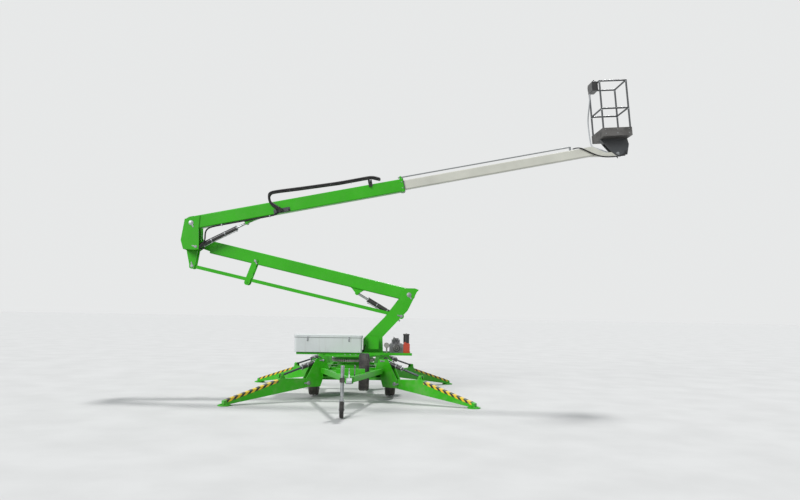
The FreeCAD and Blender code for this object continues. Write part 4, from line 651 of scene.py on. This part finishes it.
def rounded_loop(half_x, half_y, radius, count=10):
    """A rectangle's outline with its corners turned on circles, from corner centres plus radius."""
    quarter = np.linspace(0, math.pi / 2, count)
    centres = [(sx * (half_x - radius), sy * (half_y - radius), start) for sx, sy, start in
               ((1, 1, 0), (-1, 1, math.pi / 2), (-1, -1, math.pi), (1, -1, 1.5 * math.pi))]
    return np.concatenate([np.c_[x + radius * np.cos(quarter + start), y + radius * np.sin(quarter + start)]
                           for x, y, start in centres])


gasket.collar(Place((*cover_mid[:2], seam), (0, 0, 1), (0, 1, 0)),
              rounded_loop(half_x - 0.006, half_y - 0.006, 0.043), rounded_loop(half_x, half_y, 0.049),
              -0.006, 0.0005)
put(gasket, "cover_gasket", "hose_rubber", "turret")
for share in (0.2, 0.8):
    x = cover_low[0] + share * (cover_high[0] - cover_low[0])
    spot = Place((x, near_face, seam - 0.045), (1, 0, 0))
    latches.block(spot, (-0.016, -0.006, -0.030), (0.016, 0, 0.022), 0.003)
    latches.block(spot, (-0.010, -0.011, -0.024), (0.010, -0.005, 0.008), 0.003)
    latches.tube(spot.at([(-0.008, -0.009, 0.006), (-0.008, -0.010, 0.045), (0.008, -0.010, 0.045),
                          (0.008, -0.009, 0.006)]), 0.0022, 8, 1)
    latches.block(spot, (-0.014, -0.0125, 0.040), (0.014, -0.006, 0.058), 0.002)
    hinge = Place((x, far_face, seam), (1, 0, 0))
    latches.lathe(hinge.at((-0.030, 0.010, 0)), (1, 0, 0), ((0, 0.007), (0.060, 0.007)), 16)
    latches.block(hinge, (-0.028, 0, -0.040), (0.028, 0.004, 0.036), 0.001)
put(latches, "cover_latches", "zinc_tube", "turret")
for i in range(6):
    slat = Place((cover_low[0] + 0.008, cover_mid[1], cover_low[2] + 0.075 + 0.026 * i), (-1, 0, 0))
    louvres.prism(slat, ((-0.001, 0), (0.0075, -0.004), (0.0075, -0.001), (-0.001, 0.012)), -0.15, 0.15)
put(louvres, "cover_louvres", "cover_grey", "turret")

# Engine: recoil starter with its slots, muffler bands, the cleaner's wing nut, plug lead and fuel pipe

engine_low, engine_high, _ = corners(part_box("engine"))
cowl = Place((engine_low[0] + 0.130, engine_low[1], deck_top + 0.124), (1, 0, 0))
starter, bright, cable = Kit(), Kit(), Kit()
starter.lathe(cowl.origin, (0, -1, 0),
              ((0, 0.074), (0.010, 0.072), (0.016, 0.060), (0.018, 0.030), (0.018, 0.002)), 40)
put(starter, "recoil_starter", "black_paint", "turret")
for turn in around(12):
    ray = Place(cowl.origin, (math.cos(turn), 0, math.sin(turn)), (0, 1, 0))
    bright.prism(ray, ((0.032, -0.0195), (0.062, -0.0175), (0.062, -0.015), (0.032, -0.016)), -0.003, 0.003)
bright.bolt(cowl.at((0, -0.018, 0)), (0, -1, 0), 0.008)
muffler_low, muffler_high, muffler_mid = corners(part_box("muffler"))
for i in range(7):
    bright.band((muffler_mid[0], muffler_low[1] + 0.020 + 0.025 * i, muffler_high[2] - 0.048), (0, 1, 0),
                0.011, 0.0482, 0.0023, 0.003, 32)
_, cleaner_high, cleaner_mid = corners(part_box("air_cleaner"))
nut = Place((*cleaner_mid[:2], cleaner_high[2]), (1, 0, 0))
bright.lathe(nut.at((0, 0, -0.001)), (0, 0, 1),
             ((0, 0.018), (0.002, 0.018), (0.003, 0.007), (0.012, 0.006), (0.013, 0.001)), 20)
bright.block(nut, (-0.016, -0.0015, 0.004), (0.016, 0.0015, 0.014), 0.001)
put(bright, "engine_trim", "bare_steel", "turret")
plug = np.array((engine_low[0], engine_low[1], engine_high[2]))
cable.tube(plug + [(0.13, 0.05, -0.06), (0.10, 0.02, 0.01), (0.06, 0.06, 0.03), (0.12, 0.144, -0.01)],
           0.0045, 10)
tank_low = corners(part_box("fuel_tank"))[0]
cable.tube([(tank_low[0] + 0.02, tank_low[1] + 0.06, deck_top + 0.06),
            (tank_low[0] - 0.03, tank_low[1] + 0.03, deck_top + 0.05),
            (engine_high[0] - 0.02, engine_low[1] + 0.11, deck_top + 0.11)], 0.004, 10)
# Hoses from the cover's end into the foot of the tower
for y, rise in ((-0.02, 0.06), (0.05, 0.10), (0.12, 0.05), (0.18, 0.12)):
    start = np.array((cover_high[0] - 0.012, SLEW.y + 0.02 + y, deck_top + 0.06))
    finish = np.array((cover_high[0] + 0.075, SLEW.y + 0.06 + y * 0.6, deck_top + 0.16))
    cable.tube([start, start + (0.03, 0, 0.0), (start + finish) / 2 + (0.015, 0, rise),
                finish + (0, 0, 0.05), finish + (0.02, 0, -0.02)], 0.0095)
put(cable, "turret_hoses", "hose_rubber", "turret", 60)


# Upper boom: welds, wear pad bolts, and the black wiper at its end

UPPER_LENGTH, BOOM_HALF, HALF_DEEP = 4.162, 0.090, 0.125
FLY_HALF, FLY_TOP = 0.070, 0.093


def weld(kit, place, points, radius=0.0045):
    """A fillet weld between two local points: a tube whose radius swells with each bead, 9 mm long."""
    ends = place.at(points)
    run = ends[1] - ends[0]
    length = np.linalg.norm(run)
    steps = max(int(length / 0.003), 8)
    share = np.linspace(0, 1, steps)[:, None]
    way = run / length
    side = np.array(Vector(way).orthogonal().normalized())
    other = np.cross(way, side)
    swell = radius * (1 + 0.18 * np.cos(share * steps * 2 * math.pi / 3))
    turn = around(7)[None, :, None]
    circle = np.cos(turn) * side + np.sin(turn) * other
    kit.rings((ends[0] + run * share)[:, None] + swell[:, None] * circle)


welds, pads, wiper = Kit(), Kit(), Kit()
down = -np.array(UPPER.up)
pads_along = UPPER_LENGTH - 0.030
for side in SIDES:
    along, across = UPPER_LENGTH - 0.060, side * (BOOM_HALF + 0.002)
    weld(welds, UPPER, ((along, across, -HALF_DEEP), (along, across, HALF_DEEP)))
    weld(welds, UPPER, ((0.975, side * 0.055, -HALF_DEEP), (1.40, side * 0.055, -HALF_DEEP)))
    for up in (-0.06, 0.06):
        pads.bolt(UPPER.at((pads_along, side * (BOOM_HALF + 0.008), up)), UPPER.outward(side), 0.009)
for across in (-0.045, 0.045):
    pads.bolt(UPPER.at((pads_along, across, -HALF_DEEP - 0.008)), down, 0.009)
put(welds, "upper_boom_welds", "green_paint", "upper_boom_body", 60)
put(pads, "wear_pad_bolts", "zinc_tube", "upper_boom_body")
wiper.collar(UPPER, rounded_loop(FLY_HALF + 0.004, FLY_TOP + 0.004, 0.006, 5),
             rounded_loop(BOOM_HALF + 0.0105, HALF_DEEP + 0.0105, 0.010, 5),
             UPPER_LENGTH - 0.002, UPPER_LENGTH + 0.008)
put(wiper, "boom_wiper", "hose_rubber", "upper_boom_body")

# The bundle under the upper boom comes out of the knuckle; it is fixed in place at rest, on no body
bundle = Kit()
for across, radius, drop in ((-0.060, 0.013, 0.0), (-0.082, 0.009, -0.003)):
    under = -HALF_DEEP - radius - 0.002
    bend = [(-0.02, -0.47), (0.08, -0.465), (0.16, -0.43), (0.205 + drop, -0.35), (0.215 + drop, -0.28),
            (0.24, under - 0.06), (0.31, under - 0.01)]
    bend += [(along, under) for along in (0.45, 0.70, 0.95, 1.20, 1.45)]
    route = [(along, across, up) for along, up in bend]
    route += [(1.62, across - 0.02, under + 0.004), (1.70, -0.118, -0.085)]
    bundle.tube(UPPER.at(route), radius)
put(bundle, "knuckle_hoses", "hose_rubber",
    ("knuckle_body", "upper_boom_body", UPPER.at((0.205, -0.06, -0.42)), UPPER.at((0.34, -0.06, -0.14))), 60)

# The loop over the boom is a bundle: smaller hoses ride beside the thick one, held by the same clips
LOOP_ROUTE = ((1.76, -0.100), (1.64, 0.010), (1.54, 0.110), (1.53, 0.200), (1.56, 0.285), (1.75, 0.288),
              (2.15, 0.266), (2.55, 0.251), (2.93, 0.236), (3.30, 0.238), (3.56, 0.240), (3.66, 0.205),
              (3.73, 0.165))
LOOP_ACROSS = -0.121
clamps, loop_hoses, saddles = Kit(), Kit(), Kit()
for along in (0.55, 1.48):
    low, high = (along, -0.098, -HALF_DEEP - 0.030), (along + 0.022, -0.040, -HALF_DEEP + 0.001)
    clamps.block(UPPER, low, high, 0.003)
    clamps.bolt(UPPER.at((along + 0.011, -0.045, -HALF_DEEP - 0.030)), down, 0.005)
for along in (1.95, 2.35, 2.75, 3.15):
    # The thick hose falls evenly here, from 0.266 m up at 2.15 m along to 0.236 m up 0.78 m further on
    up = 0.266 + (0.236 - 0.266) * (along - 2.15) / 0.78
    clamps.band(UPPER.at((along, LOOP_ACROSS, up)), UPPER.along, 0.010, 0.0255, 0.002, 0.001, 24)
put(clamps, "hose_clamps", "zinc_tube", "upper_boom_body")
for beside, over, radius in ((-0.026, 0.022, 0.012), (0.006, 0.036, 0.012), (-0.034, -0.006, 0.010),
                             (0.030, 0.020, 0.009)):
    route = [(along, LOOP_ACROSS + beside, up + over) for along, up in LOOP_ROUTE]
    loop_hoses.tube(UPPER.at(route), radius)
put(loop_hoses, "loop_hoses", "hose_rubber", "upper_boom_body", 60)
for low, high, chamfer in (((1.60, -0.165, -0.112), (1.645, -BOOM_HALF, -0.050), 0.004),
                           ((1.83, -0.165, -0.112), (1.875, -BOOM_HALF, -0.060), 0.004),
                           ((1.58, -0.098, -0.118), (1.90, -BOOM_HALF, -0.030), 0.003),
                           ((3.50, -0.100, 0.080), (3.56, -BOOM_HALF, 0.175), 0.003),
                           ((3.50, -0.158, 0.165), (3.56, -0.086, 0.200), 0.003)):
    saddles.block(UPPER, low, high, chamfer)
for along, up in ((1.60, -0.075), (1.885, -0.075), (3.53, 0.100)):
    saddles.bolt(UPPER.at((along, -0.098, up)), UPPER.outward(-1), 0.007)
put(saddles, "hose_saddles", "dark_steel", "upper_boom_body")

# Telescopic boom: a pad at the guide tube's end, welds on the neck, and the hook of hose round the tip
fly_trim, tip_hoses = Kit(), Kit()
fly_trim.block(UPPER, (7.620, -0.016, FLY_TOP), (7.650, 0.016, FLY_TOP + 0.006), 0.002)
for side in SIDES:
    weld(fly_trim, UPPER, ((7.880, side * 0.0515, 0.060), (7.99, side * 0.0515, -0.085)))
put(fly_trim, "guide_brackets", "grey_link", "fly_boom_body")
HOOK = ((7.79, 0.100), (7.90, 0.02), (8.05, -0.09), (8.22, -0.165), (8.42, -0.195), (8.58, -0.200),
        (8.68, -0.160), (8.70, -0.110))
for across, radius in ((-0.088, 0.012), (-0.110, 0.008)):
    route = [(7.65, -0.02, 0.116), (7.71, -0.05, 0.122)] + [(along, across, up) for along, up in HOOK]
    tip_hoses.tube(UPPER.at(route), radius)
put(tip_hoses, "tip_hoses", "hose_rubber", "fly_boom_body", 60)

# Lower boom: welds at its lift lugs and near its end
lower_welds = Kit()
for side in SIDES:
    weld(lower_welds, LOWER, ((0.875, side * 0.057, -0.120), (1.150, side * 0.057, -0.120)))
    weld(lower_welds, LOWER, ((3.862, side * 0.091, -0.085), (3.862, side * 0.091, 0.085)))
put(lower_welds, "lower_boom_welds", "green_paint", "lower_boom_body", 60)


# Tower: a weld at its foot and a hatch with four screws, on each side
tower_x = corners(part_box("tower"))[0][0]
tower_welds, hatch = Kit(), Kit()
foot = Place((0, SLEW.y, 0), (1, 0, 0))
for side in SIDES:
    weld(tower_welds, foot, ((tower_x + 0.030, side * 0.104, SLEW.z + 0.002),
                             (tower_x + 0.360, side * 0.104, SLEW.z + 0.002)), 0.006)
    plate = Place((tower_x + 0.10, SLEW.y + side * 0.101, SLEW.z + 0.10), (1, 0, 0))
    hatch.block(plate, (0, -0.003, 0), (0.20, 0.003, 0.24), 0.002)
    for x, z in ((0.018, 0.018), (0.182, 0.018), (0.018, 0.222), (0.182, 0.222)):
        hatch.bolt(plate.at((x, side * 0.003, z)), (0, side, 0), 0.0055)
put(tower_welds, "tower_welds", "green_paint", "turret", 60)
put(hatch, "tower_hatch", "green_paint", "turret")


# Basket: lozenges on the floor, clamps on the posts, bolts in the toe boards, the control panel and its lead

BASKET = Place(pivot("basket_level"), (math.cos(math.radians(4)), 0, math.sin(math.radians(4))))
FLOOR, TOP, LEFT, RIGHT, SIDE = 0.300, 1.430, -0.367, 0.223, 0.340
PITCH, POST_IN = 0.034, 0.0243
treads, fixings = Kit(), Kit()
grid_x, grid_y = np.meshgrid(np.arange(LEFT + 0.05, RIGHT - 0.03, PITCH),
                             np.arange(-SIDE + 0.04, SIDE - 0.03, PITCH))
spots = np.c_[grid_x.ravel(), grid_y.ravel()]
lean = np.where((np.round(spots[:, 0] / PITCH) + np.round(spots[:, 1] / PITCH)) % 2, 1.0, -1.0)
faces = [(3, 2, 1, 0), (4, 5, 6, 7)] + [(i, (i + 1) % 4, (i + 1) % 4 + 4, i + 4) for i in range(4)]
for sign in (-1.0, 1.0):
    lozenge = np.array([(-0.011, -sign * 0.011, 0), (0.003, -sign * 0.003, 0), (0.011, sign * 0.011, 0),
                        (-0.003, sign * 0.003, 0)])
    shape = np.concatenate([lozenge, lozenge * (0.55, 0.55, 1) + (0, 0, 0.002)])
    own = spots[lean == sign]
    moves = np.c_[own, np.full(len(own), FLOOR + 0.0122)]
    treads.scatter(BASKET.at(shape) - BASKET.at((0, 0, 0)), faces, BASKET.at(moves))
put(treads, "floor_lozenges", "floor_metal", "basket_body", 30)
for side in SIDES:
    post_y = side * (SIDE - POST_IN)
    for x in (LEFT + POST_IN, RIGHT - POST_IN):
        for up in (TOP, (FLOOR + TOP) / 2):
            fixings.band(BASKET.at((x, post_y, up - 0.034)), BASKET.up, 0.014, 0.0185, 0.003, 0.002, 20)
        fixings.lathe(BASKET.at((x, post_y, FLOOR + 0.013)), BASKET.up,
                      ((0, 0.023), (0.005, 0.023), (0.006, 0.019), (0.020, 0.0185)), 20)
    for up in (FLOOR + 0.05, FLOOR + 0.13):
        for x in (LEFT + 0.06, -0.07, RIGHT - 0.06):
            fixings.bolt(BASKET.at((x, side * SIDE, up)), BASKET.outward(side), 0.006)
put(fixings, "basket_fixings", "zinc_tube", "basket_body")

# The desk's origin is on the control box's top, at the floor's near end
desk = BASKET.moved(LEFT, 0, TOP + 0.010)
panel, switches, red, lead, guard = Kit(), Kit(), Kit(), Kit(), Kit()
panel.block(desk, (-0.105, -0.258, -0.001), (-0.001, -0.014, 0.004), 0.003)
put(panel, "control_panel", "grey_link", "basket_body", paint=SWITCH_GREY)
STICK = ((0, 0.020), (0.003, 0.020), (0.007, 0.013), (0.010, 0.013), (0.013, 0.006), (0.024, 0.0055),
         (0.026, 0.010), (0.034, 0.012), (0.041, 0.009), (0.043, 0.001))
for y in (-0.215, -0.150):
    switches.lathe(desk.at((-0.053, y, 0.004)), BASKET.up, STICK, 24)
for y in (-0.095, -0.070, -0.045):
    for x in (-0.080, -0.052):
        switches.lathe(desk.at((x, y, 0.004)), BASKET.up,
                       ((0, 0.0075), (0.003, 0.0075), (0.004, 0.003), (0.014, 0.0028), (0.015, 0.001)), 14)
put(switches, "control_sticks", "black_paint", "basket_body")
red.lathe(desk.at((-0.022, -0.060, 0.004)), BASKET.up,
          ((0, 0.010), (0.010, 0.010), (0.011, 0.018), (0.018, 0.018), (0.022, 0.012), (0.023, 0.001)), 24)
put(red, "stop_button", "engine_red", "basket_body", paint=LAMP_RED)
LEAD = ((-0.095, -0.060, 1.252), (-0.098, -0.030, 1.14), (-0.090, 0.120, 0.95), (-0.075, 0.280, 0.78),
        (-0.055, 0.325, 0.55), (-0.045, 0.330, 0.36), (-0.030, 0.320, 0.25), (0.03, 0.250, 0.19),
        (0.127, 0.150, 0.12), (0.247, 0.090, 0.04), (0.317, 0.084, -0.02))
lead.tube(BASKET.moved(LEFT).at(LEAD), 0.013)
put(lead, "control_lead", "grey_link", "basket_body", 60, PALE_HOSE)
for y in (-0.262, -0.010):
    route = ((-0.004, y, -0.004), (-0.10, y, 0), (-0.115, y, -0.05), (-0.112, y, -0.13))
    guard.tube(desk.at(route), 0.0065, 10)
put(guard, "panel_guard", "dark_steel", "basket_body")


# Drawbar: the coupling's handle, the hand brake with its grip, the jockey wheel's collar and hub

_, head_high, head_mid = corners(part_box("coupling_head"))
drawbar_top = corners(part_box("drawbar"))[1][2]
sleeve_top = corners(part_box("jockey_sleeve"))[1][2]
handle, brake, sleeve, hub = Kit(), Kit(), Kit(), Kit()
head = Place((head_mid[0], head_high[1] - 0.11, head_high[2]), (0, -1, 0))
handle.tube(head.at([(-0.01, 0, -0.02), (-0.03, 0, 0.03), (0.01, 0, 0.060), (0.085, 0, 0.055)]), 0.008)
handle.bolt(head.at((0.06, 0, -0.001)), (0, 0, 1), 0.010)
put(handle, "coupling_handle", "zinc_tube", "chassis")
lever = Place((head_mid[0] + 0.075, head_high[1] + 0.20, drawbar_top - 0.02), (0, 1, 0))
brake.tube(lever.at([(0.0, 0, -0.04), (0.02, 0, 0.0), (0.20, 0, 0.055), (0.30, 0, 0.075)]), 0.009)
grip = lever.at([(0.275, 0, 0.0702), (0.30, 0, 0.075)])
brake.lathe(grip[0], grip[1] - grip[0],
            ((0, 0.013), (0.006, 0.0155), (0.10, 0.0145), (0.108, 0.009), (0.110, 0.001)), 18)
put(brake, "brake_lever", "black_paint", "chassis")
centre = pivot("jockey_spin")
sleeve.band((centre.x, centre.y, sleeve_top - 0.016), (0, 0, 1), 0.012, 0.0275, 0.0025, 0.001, 28)
put(sleeve, "jockey_collar", "zinc_tube", "jockey")
HUB = ((0, 0.078), (0.004, 0.084), (0.0065, 0.080), (0.004, 0.060), (0.0015, 0.040), (0.006, 0.030))
for side in SIDES:
    hub.lathe((centre.x + side * 0.0225, centre.y, centre.z), (side, 0, 0), HUB, 36)
put(hub, "jockey_hub", "wheel_paint", "jockey_roller")

# Rivets along the foot of the cover's near face: eight-sided heads, drawn in over two steps
rim = [(math.cos(a) * 0.005, math.sin(a) * 0.005) for a in around(8)]
rivet = [(x * share, -out, y * share) for share, out in ((1.0, 0.0), (0.8, 0.0016), (0.35, 0.0026))
         for x, y in rim]
flanks = [(k + i, k + (i + 1) % 8, k + 8 + (i + 1) % 8, k + 8 + i) for k in (0, 8) for i in range(8)]
flats = [(16, 17, 18, 19), (16, 19, 20, 21), (16, 21, 22, 23), (3, 2, 1, 0), (5, 4, 3, 0), (7, 6, 5, 0)]
base_x = np.linspace(cover_low[0] + 0.08, cover_high[0] - 0.08, 9)
rivets.scatter(rivet, flanks + flats, np.c_[base_x, np.full(9, near_face), np.full(9, cover_low[2] + 0.018)])
put(rivets, "cover_rivets", "zinc_tube", "turret", 40)


# Camera at the photograph's place: its yaw, pitch and roll in degrees, its principal point in pixels

def photo_camera():
    place = Vector((-0.822, -13.028, 1.576))
    yaw, pitch, roll = (math.radians(v) for v in (2.657, 7.094, 0.965))
    focal, width, height, principal_y = 697.7, 800, 500, 224.5
    forward = Vector((math.sin(yaw) * math.cos(pitch), math.cos(yaw) * math.cos(pitch), math.sin(pitch)))
    level = Vector((math.cos(yaw), -math.sin(yaw), 0))
    above = level.cross(forward)
    right = level * math.cos(roll) + above * math.sin(roll)
    up = above * math.cos(roll) - level * math.sin(roll)
    data = bpy.data.cameras.new("photo_camera")
    data.sensor_width = 36.0
    data.lens = 36.0 * focal / width
    data.shift_y = (principal_y - height / 2) / width
    data.clip_end = 400.0
    camera = bpy.data.objects.new("photo_camera", data)
    bpy.context.scene.collection.objects.link(camera)
    turn = Matrix((right, up, -forward)).transposed().to_4x4()
    camera.matrix_world = Matrix.Translation(place) @ turn
    bpy.context.scene.camera = camera


def studio():
    """Pale floor under an even sky, a high soft sun from behind and a weaker one from the front left.

    To the camera and in reflections the floor and the sky are pale; what they throw back on the object
    is the light of a darker yard, so that undersides stay darker than tops."""
    scene = bpy.context.scene
    scene.view_settings.view_transform = "Standard"
    half, pale = 150.0, (0.80, 0.81, 0.81)
    mesh = bpy.data.meshes.new("floor")
    mesh.from_pydata([(-half, -half, -0.001), (half, -half, -0.001), (half, half, -0.001),
                      (-half, half, -0.001)], [], [(0, 1, 2, 3)])
    floor = bpy.data.objects.new("floor", mesh)
    scene.collection.objects.link(floor)
    kit = Nodes("floor_pale")
    tone = kit.mix(kit.ramp(kit.noise(1.2, 8.0), 0.35, 0.65), (0.56, 0.56, 0.55), (0.60, 0.60, 0.59))
    shown_or_lit = kit.mix(seen_rays(kit.tree), (0.34, 0.34, 0.33), tone)
    mesh.materials.append(kit.finish(shown_or_lit, 0.8, specular=0.1))
    world = bpy.data.worlds.new("sky")
    world.use_nodes = True
    tree = world.node_tree
    light = tree.nodes["Background"]
    light.inputs["Color"].default_value = (0.88, 0.93, 1.0, 1.0)
    light.inputs["Strength"].default_value = 0.42
    shown = tree.nodes.new("ShaderNodeBackground")
    shown.inputs["Color"].default_value = (*pale, 1.0)
    blend = tree.nodes.new("ShaderNodeMixShader")
    tree.links.new(seen_rays(tree), blend.inputs["Fac"])
    tree.links.new(light.outputs[0], blend.inputs[1])
    tree.links.new(shown.outputs[0], blend.inputs[2])
    tree.links.new(blend.outputs[0], tree.nodes["World Output"].inputs["Surface"])
    scene.world = world
    for name, place, strength, spread in (("key", (4.0, 7.0, 14.0), 2.1, 7.0),
                                          ("fill", (-8.0, -10.0, 7.0), 2.3, 30.0)):
        lamp = bpy.data.lights.new(name, "SUN")
        lamp.energy = strength
        lamp.angle = math.radians(spread)
        holder = bpy.data.objects.new(name, lamp)
        scene.collection.objects.link(holder)
        holder.location = place
        holder.rotation_euler = (-Vector(place)).to_track_quat("-Z", "Y").to_euler()


def seen_rays(tree):
    """1 for camera, glossy and transmission rays, and 0 for the rest."""
    rays = tree.nodes.new("ShaderNodeLightPath")
    seen = rays.outputs["Is Camera Ray"]
    for kind in ("Is Glossy Ray", "Is Transmission Ray"):
        either = tree.nodes.new("ShaderNodeMath")
        either.operation = "MAXIMUM"
        tree.links.new(seen, either.inputs[0])
        tree.links.new(rays.outputs[kind], either.inputs[1])
        seen = either.outputs[0]
    return seen


photo_camera()
studio()
